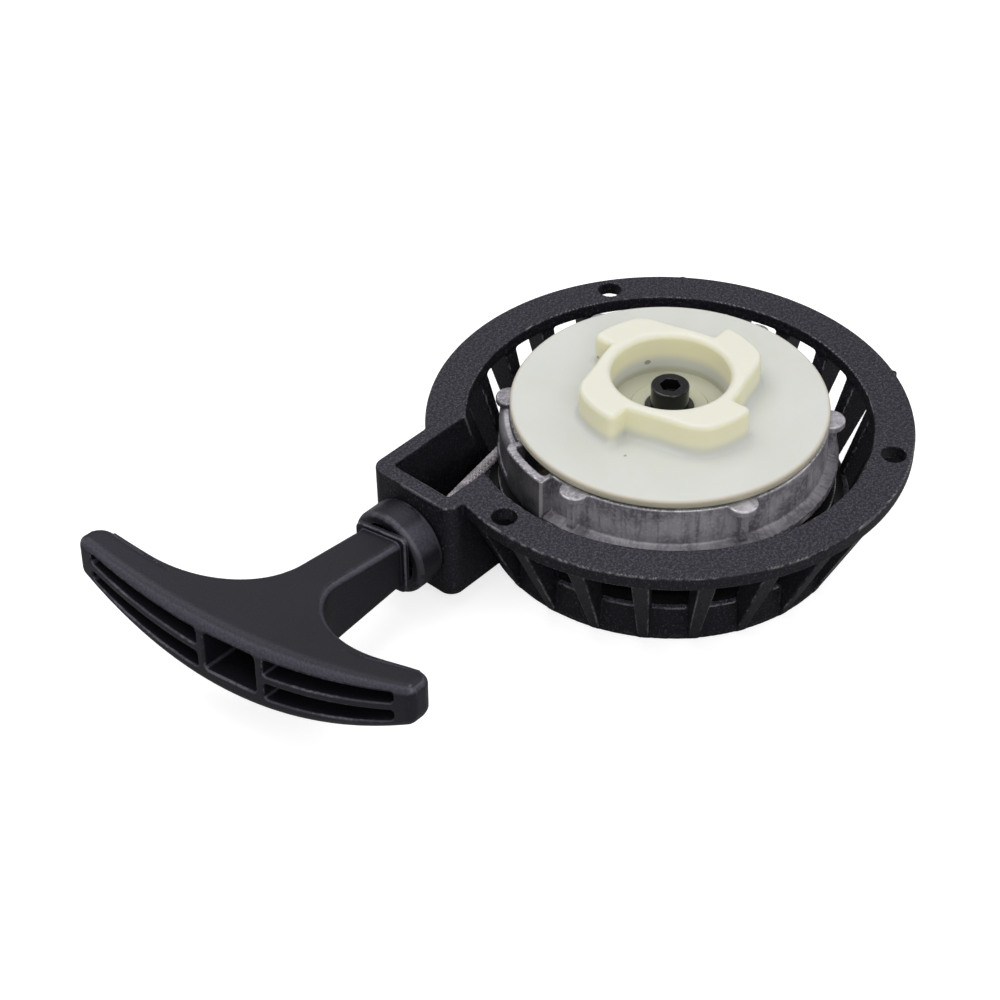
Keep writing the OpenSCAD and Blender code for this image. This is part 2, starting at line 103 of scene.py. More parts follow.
# %% Camera
CAMERA_DISTANCE = 0.5741
CAMERA_AZIMUTH = math.radians(37)
CAMERA_ELEVATION = math.radians(38.01)
PAN, TILT, ROLL = 4.386, 2.485, 2.616
LENS = 77.28


def turned(axis, degrees):
    """Rotation about one axis."""
    return Matrix.Rotation(math.radians(degrees), 3, axis)


def add_camera():
    """The scene's camera, looking nearly at the origin."""
    level, rise = math.cos(CAMERA_ELEVATION), math.sin(CAMERA_ELEVATION)
    away = Vector((level * math.cos(CAMERA_AZIMUTH), level * math.sin(CAMERA_AZIMUTH), rise))
    right = Vector((-math.sin(CAMERA_AZIMUTH), math.cos(CAMERA_AZIMUTH), 0))
    down = right.cross(away)
    looks = turned("Z", ROLL) @ turned("X", TILT) @ turned("Y", PAN) @ Matrix((right, down, -away))
    axes = Matrix((looks[0], -looks[1], -looks[2])).transposed()
    camera = into_scene("camera", bpy.data.cameras.new("camera"))
    camera.data.lens = LENS
    camera.data.clip_start = 0.05
    camera.matrix_world = Matrix.Translation(away * CAMERA_DISTANCE) @ axes.to_4x4()
    bpy.context.scene.camera = camera
    bpy.context.scene.view_settings.view_transform = "Standard"
    return camera


camera = add_camera()
print("camera stands at", [round(v, 3) for v in camera.matrix_world.translation])

# %% [markdown]
# ## Light and floor
#
# Black plastic shows its shape only through what it reflects, so the light is a pale sky that is bright
# overhead and dim near the horizon, as under a studio's ceiling light, with three wide soft lamps. A
# vertical wall then stays dark while a top face shines. The backdrop and the floor are white for the camera:
# the Light Path node tells the shader which kind of ray is asking, and only those rays see full white. The
# floor keeps a part of its own light in that white, so that the starter's shadow stays on it.

# %% Light
LAMPS = [
    # name, place, size, watts
    ("lamp_high", (0.10, -0.30, 0.90), 0.8, 4.2),
    ("lamp_side", (-0.75, 0.45, 0.55), 0.6, 1.3),
    ("lamp_front", (0.50, 0.72, 0.62), 0.6, 3.2),
]
SKY_TOP, SKY_LOW = 0.80, 0.12
WHITE = (1, 1, 1, 1)


def add_sky():
    """World that is bright overhead and dim at the horizon, and white to the camera."""
    world = bpy.data.worlds.new("sky")
    bpy.context.scene.world = world
    world.use_nodes = True
    tree = world.node_tree
    tree.nodes.clear()
    place = put(tree, "ShaderNodeTexCoord").outputs["Generated"]
    height = put(tree, "ShaderNodeSeparateXYZ", {0: place}).outputs["Z"]
    levels = {"Value": height, "From Min": 0.0, "From Max": 0.9, "To Min": SKY_LOW, "To Max": SKY_TOP}
    strength = put(tree, "ShaderNodeMapRange", levels).outputs[0]
    light = put(tree, "ShaderNodeBackground", {"Color": WHITE, "Strength": strength}).outputs[0]
    white = put(tree, "ShaderNodeBackground", {"Color": WHITE}).outputs[0]
    ray = put(tree, "ShaderNodeLightPath").outputs
    seen = sums(tree, "MAXIMUM", ray["Is Camera Ray"], ray["Is Transmission Ray"])
    mix = put(tree, "ShaderNodeMixShader", {0: seen, 1: light, 2: white}).outputs[0]
    put(tree, "ShaderNodeOutputWorld", {0: mix})


def add_lamps():
    """Wide square lamps that all look at the middle of the starter."""
    for name, place, size, watts in LAMPS:
        lamp = into_scene(name, bpy.data.lights.new(name, "AREA"))
        lamp.data.size = size
        lamp.data.energy = watts
        lamp.location = place
        lamp.rotation_euler = (-Vector(place)).to_track_quat("-Z", "Y").to_euler()


add_sky()
add_lamps()
print("lamps:", len(LAMPS), "watts:", sum(watts for *_, watts in LAMPS))

# %% Floor
def floor_finish():
    """Grey floor that the camera sees as white, with the starter's shadow."""
    material = bpy.data.materials.new("floor")
    material.use_nodes = True
    tree = material.node_tree
    tree.nodes.clear()
    grey = put(tree, "ShaderNodeBsdfDiffuse", {"Color": (0.30, 0.30, 0.30, 1)}).outputs[0]
    pale = put(tree, "ShaderNodeBsdfDiffuse", {"Color": (0.55, 0.55, 0.55, 1)}).outputs[0]
    glow = put(tree, "ShaderNodeEmission", {"Strength": 0.72}).outputs[0]
    glowing = put(tree, "ShaderNodeAddShader", {0: pale, 1: glow}).outputs[0]
    to_camera = put(tree, "ShaderNodeLightPath").outputs["Is Camera Ray"]
    mix = put(tree, "ShaderNodeMixShader", {0: to_camera, 1: grey, 2: glowing}).outputs[0]
    put(tree, "ShaderNodeOutputMaterial", {0: mix})
    return material


def lowest_point():
    """Height of the model's lowest point."""
    return min(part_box(n)[0].z for n in frame["nodes"])


def add_floor():
    """Wide floor under the starter, 6 m across."""
    low = lowest_point()
    corners = [(x, y, low) for x, y in ((-3.0, -3.0), (3.0, -3.0), (3.0, 3.0), (-3.0, 3.0))]
    mesh = bpy.data.meshes.new("floor")
    mesh.from_pydata(corners, [], [(0, 1, 2, 3)])
    mesh.materials.append(floor_finish())
    floor = into_scene("floor", mesh)


add_floor()
print("floor at", round(lowest_point() / MM, 2), "mm")

# %% [markdown]
# ## Shapes from distances
#
# A moulded or cast part has no sharp edges. One way to get them rounded is to bevel a mesh, but a bevel
# fails where many small faces meet. A distance field has no such trouble: a function says how far a point is
# from the surface, below zero inside, and two such functions are joined, cut or rounded with a line of
# arithmetic. The surface is then drawn through a grid of cells, one vertex for each cell that it passes
# through, and every vertex is pulled onto the exact surface. Lengths in these functions are in millimetres.
# Where a face slants, its distance is multiplied by a little less than one, which keeps it close to a true
# length.

# %% Joining, cutting and rounding distances
def both(a, b, r=0.0):
    """Where a and b overlap, with the edge between them rounded to radius r."""
    if np.isscalar(r) and r == 0:
        return np.maximum(a, b)
    return np.minimum(np.maximum(a, b), -r) + np.hypot(np.maximum(a + r, 0), np.maximum(b + r, 0))


def either(a, b, r=0.0):
    """a and b joined, with a fillet of radius r between them."""
    return -both(-a, -b, r)


def without(a, b, r=0.0):
    """a with b cut away, and the new edge rounded to radius r."""
    return both(a, -b, r)


def slab(v, low, high):
    """Space between two values of v."""
    return np.maximum(low - v, v - high)


def drum(radius, z, r, low, high, edge=0.0):
    """Solid disc of radius r between two heights."""
    return both(radius - r, slab(z, low, high), edge)


def around(x, y, degrees):
    """x and y as seen after turning by an angle."""
    c, s = math.cos(math.radians(degrees)), math.sin(math.radians(degrees))
    return x * c + y * s, y * c - x * s


inside_edge = both(np.float64(-1), np.float64(-1), 2)
print("a point 1 mm inside both faces of a 2 mm rounded edge:", round(float(inside_edge), 3))

# %% The mesh on a distance's zero
CORNERS = np.array([(i, j, k) for i in (0, 1) for j in (0, 1) for k in (0, 1)])
CELL_EDGES = [(a, b) for a in range(8) for b in range(a + 1, 8)
              if np.abs(CORNERS[a] - CORNERS[b]).sum() == 1]
PROBE, WIDE_PROBE, BEND_PROBE = 0.02, 0.06, 0.3
PULLS = 4
print("edges of one cell:", len(CELL_EDGES))


def slope(distance, points, h=PROBE):
    """Gradient of the distance at each point."""
    result = np.empty_like(points)
    for axis in range(3):
        step = np.zeros(3)
        step[axis] = h
        result[:, axis] = (distance(*(points + step).T) - distance(*(points - step).T)) / (2 * h)
    return result


def bend(distance, points, h=BEND_PROBE):
    """How sharply the surface bends out at each point, in 1/mm; below zero in a hollow corner."""
    total = -6 * distance(*points.T)
    for axis in range(3):
        step = np.zeros(3)
        step[axis] = h
        total = total + distance(*(points + step).T) + distance(*(points - step).T)
    return total / h**2


def cell_mesh(distance, low, high, step):
    """Vertices and outward quads of the surface, one vertex in each cell that it passes through."""
    axes = [np.arange(a - step, b + 2 * step, step) for a, b in zip(low, high)]
    field = distance(*np.meshgrid(*axes, indexing="ij"))
    inside = field < 0
    count = np.zeros([n - 1 for n in inside.shape], np.int8)
    for i, j, k in CORNERS:
        count += inside[i:i + count.shape[0], j:j + count.shape[1], k:k + count.shape[2]]
    cells = np.argwhere((count > 0) & (count < 8))
    number = np.full(count.shape, -1, np.int64)
    number[tuple(cells.T)] = np.arange(len(cells))
    values = np.stack([field[tuple((cells + c).T)] for c in CORNERS], 1)
    total, hits = np.zeros((len(cells), 3)), np.zeros(len(cells))
    for a, b in CELL_EDGES:
        crossed = (values[:, a] < 0) != (values[:, b] < 0)
        share = values[crossed, a] / (values[crossed, a] - values[crossed, b])
        total[crossed] += CORNERS[a] + share[:, None] * (CORNERS[b] - CORNERS[a])
        hits[crossed] += 1
    points = np.array([a[0] for a in axes]) + step * (cells + total / hits[:, None])
    quads = []
    for axis in range(3):
        u, v = np.eye(3, dtype=int)[(axis + 1) % 3], np.eye(3, dtype=int)[(axis + 2) % 3]
        here = [slice(1, n - 1) for n in inside.shape]
        there = list(here)
        here[axis], there[axis] = slice(0, inside.shape[axis] - 1), slice(1, inside.shape[axis])
        a, b = inside[tuple(here)], inside[tuple(there)]
        e = np.argwhere(a != b)
        e_full = e + 1
        e_full[:, axis] -= 1
        ring = np.stack([number[tuple(q.T)] for q in (e_full, e_full - u, e_full - u - v, e_full - v)], 1)
        leaving = a[tuple(e.T)]
        quads.append(np.where(leaving[:, None], ring, ring[:, ::-1]))
    return points, np.concatenate(quads)


# %% From points and faces to a finished piece
TILE = 6.0
print("flat areas are joined in tiles of", TILE, "mm")


def join_flat_areas(mesh):
    """Joins the small faces of flat areas, tile by tile, so that only rounded areas stay dense."""
    work = bmesh.new()
    work.from_mesh(mesh)
    for face in work.faces:
        x, y, z = (math.floor(v / TILE) for v in face.calc_center_median())
        face.material_index = (x + 3 * y + 9 * z) % 27
    bmesh.ops.dissolve_limit(work, angle_limit=math.radians(0.25), verts=work.verts, edges=work.edges,
                             delimit={"MATERIAL"})
    for face in work.faces:
        face.material_index = 0
    bmesh.ops.triangulate(work, faces=[f for f in work.faces if len(f.verts) > 4])
    work.to_mesh(mesh)
    work.free()


def skin(name, distance, low, high, step, place=None, has_flats=True):
    """Mesh object on the zero of a distance, with its edges marked for wear, put in its place."""
    points, quads = cell_mesh(distance, low, high, step)
    for _ in range(PULLS):
        g = slope(distance, points)
        move = distance(*points.T)[:, None] * g / np.maximum((g * g).sum(1), 0.2)[:, None]
        points = points - np.clip(move, -step / 2, step / 2)
    mesh = bpy.data.meshes.new(name)
    mesh.from_pydata(points.tolist(), [], quads.tolist())
    if has_flats:
        join_flat_areas(mesh)
    points = np.empty(len(mesh.vertices) * 3)
    mesh.vertices.foreach_get("co", points)
    points = points.reshape(-1, 3)
    g = slope(distance, points, WIDE_PROBE)
    normals = g / np.maximum(np.linalg.norm(g, axis=1), 1e-6)[:, None]
    sharp = np.clip(bend(distance, points) * 0.5, 0, 1)
    edge = mesh.attributes.new("edge", "FLOAT", "FACE")
    edge.data.foreach_set("value", [min(sharp[v] for v in face.vertices) for face in mesh.polygons])
    matrix = (place or Matrix.Identity(4)).copy()
    mesh.transform(Matrix.Scale(MM, 4) @ matrix)
    turn = np.array(matrix.to_3x3())
    mesh.normals_split_custom_set_from_vertices((normals @ turn.T).tolist())
    mesh.update()
    print(f"{name}: {sum(len(p.vertices) - 2 for p in mesh.polygons)} triangles")
    return into_scene(name, mesh)


# %% [markdown]
# ## Sizes that the pieces share
#
# The model's own boxes give the outer sizes. The rest are the main dimensions of the moulding, in
# millimetres.

# %% Sizes
def box_mm(node):
    """Lowest and highest corner of a part, in millimetres."""
    low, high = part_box(node)
    return np.array(low) / MM, np.array(high) / MM


FLANGE_R, FLANGE_BORE_R, FLANGE_T = 65.0, 54.3, 4.0
FLOOR = box_mm("housing")[0][2]
CHAMBER_R, WALL = 49.8, 2.5
CHAMBER_TOP = FLOOR + 11
RIBS, RIB_DEPTH = 24, 9.5
BOX_WALL = 4.5
BOX_END = box_mm("housing")[1][0]
BOX_IN = BOX_END - BOX_WALL
BOX_Y = (-40.35, -20.85)
BOX_LOW = -30.0
SEAT = (BOX_END, sum(BOX_Y) / 2, -16.2)
BOLT_R, BOLT_HOLE_R, BOLT_ANGLE = 60.0, 3.3, -4.9
GATES = (148.6, 215.2)
print("floor of the housing at", round(FLOOR, 2), "mm; box ends at", round(BOX_END, 2), "mm")

# %% [markdown]
# ## Housing
#
# The housing is one plastic moulding: a flange that bolts to the engine, a shallow chamber for the spring,
# 24 ribs that carry one from the other and let cooling air in, and a box that the rope leaves by. Each is a
# short distance function, and they are joined with small fillets, as in the mould. All ribs come from one
# formula, because the angle is folded into a single rib's share of the circle.

# %% Housing
RIB_TURN, RIB_HALF_LOW, RIB_HALF_HIGH = 2.5, 1.45, 2.35
RIB_TOP_R = FLANGE_R - 1
BOX_FROM_X, SKIRT_H = 20, 30.5
EYELET_BODY_R, BOSS_R, POST_PIT_R = 4.6, 9.5, 6.0
ANCHOR_ANGLE, ANCHOR_REACH, ANCHOR_SIDE = 200, (41.9, 48.4), (0.7, 4.7)
GATE_R = 1.1


def folded(x, y, count, first):
    """Angle from the nearest of some copies on a circle, in degrees; the first copy stands at an angle."""
    share = 360 / count
    angle = np.degrees(np.arctan2(y, x)) - first
    return angle - share * np.round(angle / share)


def rib_cage(x, y, z, radius):
    """Slanting ribs from the chamber up to the flange."""
    side = radius * np.sin(np.radians(folded(x, y, RIBS, RIB_TURN)))
    rise = np.clip((z - FLOOR) / (-FLANGE_T - FLOOR), 0, 1)
    half_w = RIB_HALF_LOW + (RIB_HALF_HIGH - RIB_HALF_LOW) * rise
    outer = CHAMBER_R + (RIB_TOP_R - CHAMBER_R) * rise
    rise_inside = np.clip((z - CHAMBER_TOP) / (-FLANGE_T - CHAMBER_TOP), 0, 1)
    inner = CHAMBER_R - WALL / 2 + (RIB_TOP_R - RIB_DEPTH - CHAMBER_R + WALL / 2) * rise_inside
    across = 0.9 * np.maximum(radius - outer, inner - radius)
    return both(both(np.abs(side) - half_w, across, 0.5), slab(z, FLOOR + 0.1, 1 - FLANGE_T))


def box_wall(x, y, z, grow, low):
    """The rope box's outline, grown outwards, down to a height."""
    end = BOX_IN + grow
    width = both(slab(y, BOX_Y[0] - grow, BOX_Y[1] + grow), x - end, 1.0 + grow * 0.66)
    return both(width, low - z, 1.0)


def housing_shape(x, y, z):
    """Distance to the housing."""
    radius = np.hypot(x, y)
    box_plan = np.maximum(box_wall(x, y, np.zeros_like(z), 0, -9), BOX_FROM_X - x)
    opening = either(radius - FLANGE_BORE_R, box_plan, 3.0)
    flange = without(both(radius - FLANGE_R, slab(z, -FLANGE_T, 0), 0.55), opening, 0.45)
    body = either(flange, rib_cage(x, y, z, radius), 0.8)
    cone = FLANGE_BORE_R - (FLANGE_BORE_R - CHAMBER_R + 1.5) * np.clip(-z / SKIRT_H, 0, 1)
    outer_box = both(box_wall(x, y, z, BOX_WALL, BOX_LOW), z, 0.5)
    body = either(body, both(outer_box, np.maximum(cone - radius, -x), 0.4), 0.5)
    body = without(body, np.maximum(box_wall(x, y, z, 0, BOX_LOW + 3), BOX_FROM_X - x), 0.45)
    wall = both(both(radius - CHAMBER_R, CHAMBER_R - WALL - radius), slab(z, FLOOR, CHAMBER_TOP), 0.4)
    floor = both(radius - CHAMBER_R, slab(z, FLOOR, FLOOR + WALL), 1.2)
    boss = drum(radius, z, BOSS_R, FLOOR + 0.5, FLOOR + WALL + 2.4, 0.4)
    body = either(either(body, either(wall, floor, 0.6), 0.4), boss, 0.6)
    ax, ay = around(x, y, ANCHOR_ANGLE)
    anchor_side = np.maximum(slab(ay, *ANCHOR_SIDE), slab(z, FLOOR + 2, CHAMBER_TOP - 0.1))
    body = np.minimum(body, both(slab(ax, *ANCHOR_REACH), anchor_side))
    body = without(body, np.maximum(radius - POST_PIT_R, FLOOR + 1.4 - z))
    body = without(body, np.maximum(np.hypot(y - SEAT[1], z - SEAT[2]) - EYELET_BODY_R, BOX_IN - 0.5 - x))
    for i in range(3):
        hx, hy = around(x, y, BOLT_ANGLE + 120 * i)
        body = without(body, np.maximum(np.hypot(hx - BOLT_R, hy) - BOLT_HOLE_R, -FLANGE_T - 1 - z), 0.3)
    for angle in GATES:
        gx, gy = around(x, y, angle)
        body = either(body, drum(np.hypot(gx - FLANGE_R + 0.1, gy), z, GATE_R, -3.4, -0.5, 0.4), 0.3)
    return np.maximum(body, slab(z, FLOOR, 0))


def add_housing():
    """The moulded housing."""
    low, high = box_mm("housing")
    return skin("housing_moulding", housing_shape, low, high, 0.45)


housing = add_housing()

# %% [markdown]
# ## Reel
#
# The reel is die-cast: a drum with two rope flanges, and above them a cup for the drive spring. Six lugs
# stand round the cup's rim, a bulge in its wall takes the spring's tab, and a guard beside the bulge widens
# the wall. A turned profile is a distance in radius and height alone; the lugs, the bulge and the guard are
# added to it.

# %% Reel
CUP_RIM, CUP_FLOOR, CUP_R, CUP_WALL = 2.5, -8.5, 42.5, 2.6
GROOVE_TOP, GROOVE_LOW, REEL_LOW = -11.3, -18.1, -20.6
REEL_FLANGE_R, DRUM_R, DRUM_WALL = 45.8, 35.6, 3
HUB_R, HUB_LOW, REEL_BORE_R = 11.0, -29.8, 8.05
POCKET, POCKET_R = (331, 354), 46.4
POCKET_TURN = math.tan(math.radians(sum(POCKET) / 2))
GUARD_FROM, GUARD_R = 301, REEL_FLANGE_R - 0.5
LUGS, LUG_TURN, LUG_R = 6, 4.5, 4.0
KNOT_ANGLE, ROPE_R = 120, 1.5
ROPE_Z = (GROOVE_TOP + GROOVE_LOW) / 2


def wedge(x, y, start, end):
    """Sector between two angles that are less than half a turn apart."""
    a, b = math.radians(start), math.radians(end)
    return np.maximum(x * math.sin(a) - y * math.cos(a), y * math.cos(b) - x * math.sin(b))


def turned_reel(radius, z):
    """Drum, rope flanges, web and cup."""
    cup = both(slab(radius, CUP_R - CUP_WALL, CUP_R), slab(z, CUP_FLOOR - 1, CUP_RIM), 0.5)
    flange = both(radius - REEL_FLANGE_R, slab(z, GROOVE_TOP, CUP_FLOOR - 0.9), 0.6)
    cone_top = (z - CUP_FLOOR + 1) + (radius - REEL_FLANGE_R) * 0.3
    cone = both(cone_top, slab(radius, 20, REEL_FLANGE_R)) * 0.95
    cone = np.maximum(cone, GROOVE_TOP - z)
    web = drum(radius, z, CUP_R - 1, GROOVE_TOP, CUP_FLOOR)
    inside = DRUM_R - DRUM_WALL
    low_flange = both(slab(radius, inside, REEL_FLANGE_R), slab(z, REEL_LOW, GROOVE_LOW), 0.5)
    wall = both(slab(radius, inside, DRUM_R), slab(z, REEL_LOW + 0.3, GROOVE_TOP + 1))
    hub = drum(radius, z, HUB_R, HUB_LOW, GROOVE_TOP + 1)
    body = either(either(cup, np.minimum(flange, cone), 0.5), web, 0.8)
    return np.minimum(np.minimum(body, hub), either(low_flange, wall, 0.4))


def reel_shape(x, y, z):
    """Distance to the reel."""
    radius = np.hypot(x, y)
    body = turned_reel(radius, z)
    outside = CUP_R - CUP_WALL / 2 - radius
    angle = np.radians(folded(x, y, LUGS, LUG_TURN))
    lx, ly = radius * np.cos(angle) - CUP_R, radius * np.sin(angle)
    lug = both(np.hypot(lx, ly) - LUG_R, slab(z, CUP_RIM - 2, CUP_RIM), 0.45)
    ridge = both(np.maximum(np.abs(ly) - 1.2, slab(lx, -CUP_WALL, 2.0)), slab(z, -10, CUP_RIM - 1), 0.3)
    lug = np.maximum(either(lug, ridge, 0.6), outside)
    bulge = both(radius - POCKET_R, wedge(x, y, *POCKET), np.where(y < POCKET_TURN * x, 2.6, 0.9))
    bulge = both(bulge, slab(z, -10, CUP_RIM), 0.5)
    guard = both(radius - GUARD_R, wedge(x, y, GUARD_FROM, POCKET[0] + 1), 0.8)
    guard = both(guard, slab(z, -10, CUP_RIM - 1.5), 2.4)
    body = either(body, np.maximum(np.minimum(bulge, guard), outside), 0.35)
    body = either(body, lug, 0.35)
    slot_ends = wedge(x, y, POCKET[0] + 3, POCKET[1] - 2)
    slot = both(slab(radius, CUP_R - CUP_WALL - 1, POCKET_R - 2.4), slot_ends, 1.0)
    body = without(body, np.maximum(slot, CUP_FLOOR - z), 0.4)
    body = without(body, radius - REEL_BORE_R, 0.2)
    kx, ky = around(x, y, KNOT_ANGLE)
    hole = np.maximum(np.hypot(ky, z - ROPE_Z) - ROPE_R, slab(kx, 30, DRUM_R + 1))
    return np.maximum(without(body, hole, 0.2), z - CUP_RIM)


def add_reel():
    """The cast reel with its cup."""
    low, high = box_mm("reel")
    return skin("reel_casting", reel_shape, low, high, 0.5)


reel = add_reel()

# %% [markdown]
# ## Drive disc
#
# The disc is natural nylon, moulded with a bore for the centre's bush. Four dogs stand on its ring. Each has
# a flat face that pushes the engine's ratchet and a ramp that lets it slip past. The ring's edges are
# rounded by one to two millimetres, as if melted, and it runs out onto the disc in a wide fillet.

# %% Drive disc
DISC_LOW, DISC_TOP, DOG_TOP = CUP_RIM + 0.4, CUP_RIM + 2.9, box_mm("drive_disc")[1][2]
DISC_R, RING_R, RING_BORE_R, DOG_R = box_mm("drive_disc")[1][0], 18.4, 15.7, 25.7
DOGS, DOG_ARC, DOG_RAMP, DOG_ANGLE = 4, 38, 74, 3
RING_SWELL = 0.9
WELL_FLOOR, GROOVE_R, GROOVE_DEPTH = 3.1, 10.4, 0.5
STEP_LOW, ARBOR_R, ARBOR_LOW, BUSH_R = 0.9, 11.5, -7.5, 6.55


def dog_plan(x, y):
    """One dog from above: a pushing face at angle 0, an arc, then a straight ramp back to the ring."""
    arc, ramp = math.radians(DOG_ARC), math.radians(DOG_RAMP)
    tip = Vector((DOG_R * math.cos(arc), -DOG_R * math.sin(arc)))
    root = (RING_R + RING_SWELL) * Vector((math.cos(ramp), -math.sin(ramp)))
    along = (root - tip).normalized()
    slant = (x - tip.x) * -along.y + (y - tip.y) * along.x
    outline = both(both(np.hypot(x, y) - DOG_R, slant, 2.5), y, 1.8)
    return np.maximum(outline, -x)


def disc_shape(x, y, z):
    """Distance to the drive disc."""
    radius = np.hypot(x, y)
    disc = drum(radius, z, DISC_R, DISC_LOW, DISC_TOP, 0.8)
    ring = radius - RING_R - RING_SWELL
    for i in range(DOGS):
        ring = either(ring, dog_plan(*around(x, y, DOG_ANGLE + 360 / DOGS * i)), 0.8)
    ring = both(ring, slab(z, DISC_LOW + 1, DOG_TOP), 1.5)
    step = drum(radius, z, RING_R, STEP_LOW, DISC_TOP, 0.3)
    arbor = drum(radius, z, ARBOR_R, ARBOR_LOW, STEP_LOW + 0.5, 0.2)
    body = either(np.minimum(np.minimum(disc, step), arbor), ring, 1.9)
    body = without(body, both(radius - RING_BORE_R, WELL_FLOOR - z, 0.8), 1.9)
    groove = both(slab(radius, GROOVE_R, RING_BORE_R), WELL_FLOOR - GROOVE_DEPTH - z, 0.2)
    body = without(body, groove, 0.25)
    return without(body, radius - BUSH_R, 0.15)


def add_disc():
    """The nylon drive disc with its dogs."""
    low, high = box_mm("drive_disc")
    return skin("drive_disc_moulding", disc_shape, low, high, 0.42)


disc = add_disc()

# %% [markdown]
# ## Pull handle
#
# The handle is one soft shape: a round-cornered neck that flares into a bowed grip. Seen from above it is a
# front arc and a back edge that leaves the neck on a quarter ellipse; seen from the front the grip is a bow
# whose tips rise and thin out. The window in its front holds the rope's knot, and four slots save material.
# The shape is worked out along its own axis and only then put in its place.

# %% Pull handle
HANDLE_L, HALF_W = 69.4, 54.0
NECK_HALF, NECK_START = 6.7, 10.9
SHOULDER, SHOULDER_BACK, SHOULDER_FRONT = 8.2, NECK_START - 0.1, NECK_START + 1.5
SPIGOT_R, SPIGOT_START = 6.2, 3.9
FLARE_START, FLARE_W, GRIP_BACK = 36.0, 37.0, 56.9
FRONT_BOW, GRIP_RISE = 3.6, 9.4
HALF_H, TIP_HALF_H = 9.2, 5.3
WINDOW = (8.3, 5.3)
WINDOW_FLOOR = HANDLE_L - 21
SLOTS = (10.8, 48.7)
SLOT_DEPTH, SLOT_H, SLOT_RIB = 7.0, 4.6, 2.2
TIP_R, TIP_BACK_R, ROPE_HOLE_R = 2.2, 5.0, 1.7


def flare_back(x, w):
    """Distance behind the grip's back edge and beside the neck."""
    a, b = GRIP_BACK - FLARE_START, FLARE_W - NECK_HALF
    u, v = np.maximum(x - FLARE_START, 0), np.maximum(FLARE_W - w, 0)
    k = np.hypot(u / a, v / b)
    return (1 - k) * k / np.maximum(np.hypot(u / a**2, v / b**2), 1e-6)


def grip_shape(x, w, z):
    """Distance to the handle along its own axis, w across and z up."""
    side = np.abs(w)
    bow = np.minimum((side / HALF_W)**2, 1.1)
    front = (x - (HANDLE_L - FRONT_BOW * bow)) * 0.995
    tip_rounding = np.where(x < GRIP_BACK + 4.2, TIP_BACK_R, TIP_R)
    plan = both(both(front, flare_back(x, side), 1.5), side - HALF_W, tip_rounding)
    plan = both(plan, NECK_START - x, 0.8)
    middle = GRIP_RISE * bow - 0.6
    grow = np.clip((x - NECK_START) / (FLARE_START + 4 - NECK_START), 0, 1)
    half_h = NECK_HALF + (HALF_H - (HALF_H - TIP_HALF_H) * bow - NECK_HALF) * grow
    height = (np.abs(z - middle * grow) - half_h) * 0.96
    front_top = (front > -9) & (z > middle)
    rounding = np.where(front_top, 4.2 - 1.6 * bow, 2.0)
    body = both(plan, height, rounding)
    square = both(side - SHOULDER, np.abs(z) - SHOULDER, 2.0)
    body = either(body, both(square, slab(x, SHOULDER_BACK, SHOULDER_FRONT), 0.5), 0.3)
    spigot = both(np.hypot(w, z) - SPIGOT_R, SPIGOT_START - x, 0.5)
    body = either(body, np.maximum(spigot, x - NECK_START - 1), 0.4)
    window = both(both(side - WINDOW[0], np.abs(z) - WINDOW[1], 1.2), WINDOW_FLOOR - x, 0.5)
    body = without(body, window, 0.7)
    slot_h = SLOT_H * (1 - bow / 2)
    slot_z = np.abs(np.abs(z - middle) - (SLOT_RIB + slot_h) / 2) - slot_h / 2
    slot = both(both(slab(side, *SLOTS), slot_z * 0.95, 1.0), -front - SLOT_DEPTH, 0.4)
    body = without(body, slot, 0.6)
    return without(body, both(np.hypot(w, z) - ROPE_HOLE_R, x - WINDOW_FLOOR - 1), 0.2)


def handle_place():
    """From the handle's own axis to its place in the rope box's wall."""
    turn = turned("Z", 5) @ turned("Y", -7) @ turned("X", 5)
    return Matrix.Translation(SEAT) @ turn.to_4x4()


def add_handle():
    """The pull handle."""
    low, high = (3.8, -HALF_W, -11.0), (HANDLE_L, HALF_W, 15.5)
    return skin("pull_handle_moulding", grip_shape, low, high, 0.45, handle_place())


handle = add_handle()

# %% [markdown]
# ## Collar, screw and washer
#
# The collar that the handle rests in, the socket-head screw that holds the stack together and the washer
# under it are small turned or moulded parts. Their edges catch the light as thin bright lines, so they are
# drawn on a finer grid than the large mouldings.

# %% Small turned parts
COLLAR_R, COLLAR_BORE_R, COLLAR_L, COLLAR_BASE = 12.1, 8.9, 9.0, 2.4
HEAD_R, HEAD_Z, HEAD_TOP, SOCKET_W, SOCKET_DEPTH = 5.1, 4.0, 10.0, 5.0, 3.5
SHANK_R, SHANK_L, WASHER_T = 3.0, 14, 0.8


def collar_shape(x, y, z):
    """Distance to the collar, x outwards from the rope box."""
    radius = np.hypot(y, z)
    ring = both(radius - COLLAR_R, slab(x, 0, COLLAR_L), 1.7)
    body = without(ring, both(radius - COLLAR_BORE_R, COLLAR_BASE - x, 0.3), 0.5)
    return without(np.maximum(body, -x), radius - EYELET_BODY_R, 0.1)


def hexagon(x, y, width):
    """Distance to a hexagon in its own plane, width across its flats."""
    flats = [np.abs(x * math.cos(a) + y * math.sin(a)) for a in np.radians((30, 90, 150))]
    return np.maximum(np.maximum(flats[0], flats[1]), flats[2]) - width / 2


def screw_shape(x, y, z):
    """Distance to the socket-head screw."""
    radius = np.hypot(x, y)
    head = drum(radius, z, HEAD_R, HEAD_Z, HEAD_TOP, 0.45)
    shank = drum(radius, z, SHANK_R, HEAD_Z - SHANK_L, HEAD_Z + 1)
    socket = both(hexagon(x, y, SOCKET_W), HEAD_TOP - SOCKET_DEPTH - z)
    return without(np.minimum(head, shank), socket, 0.2)


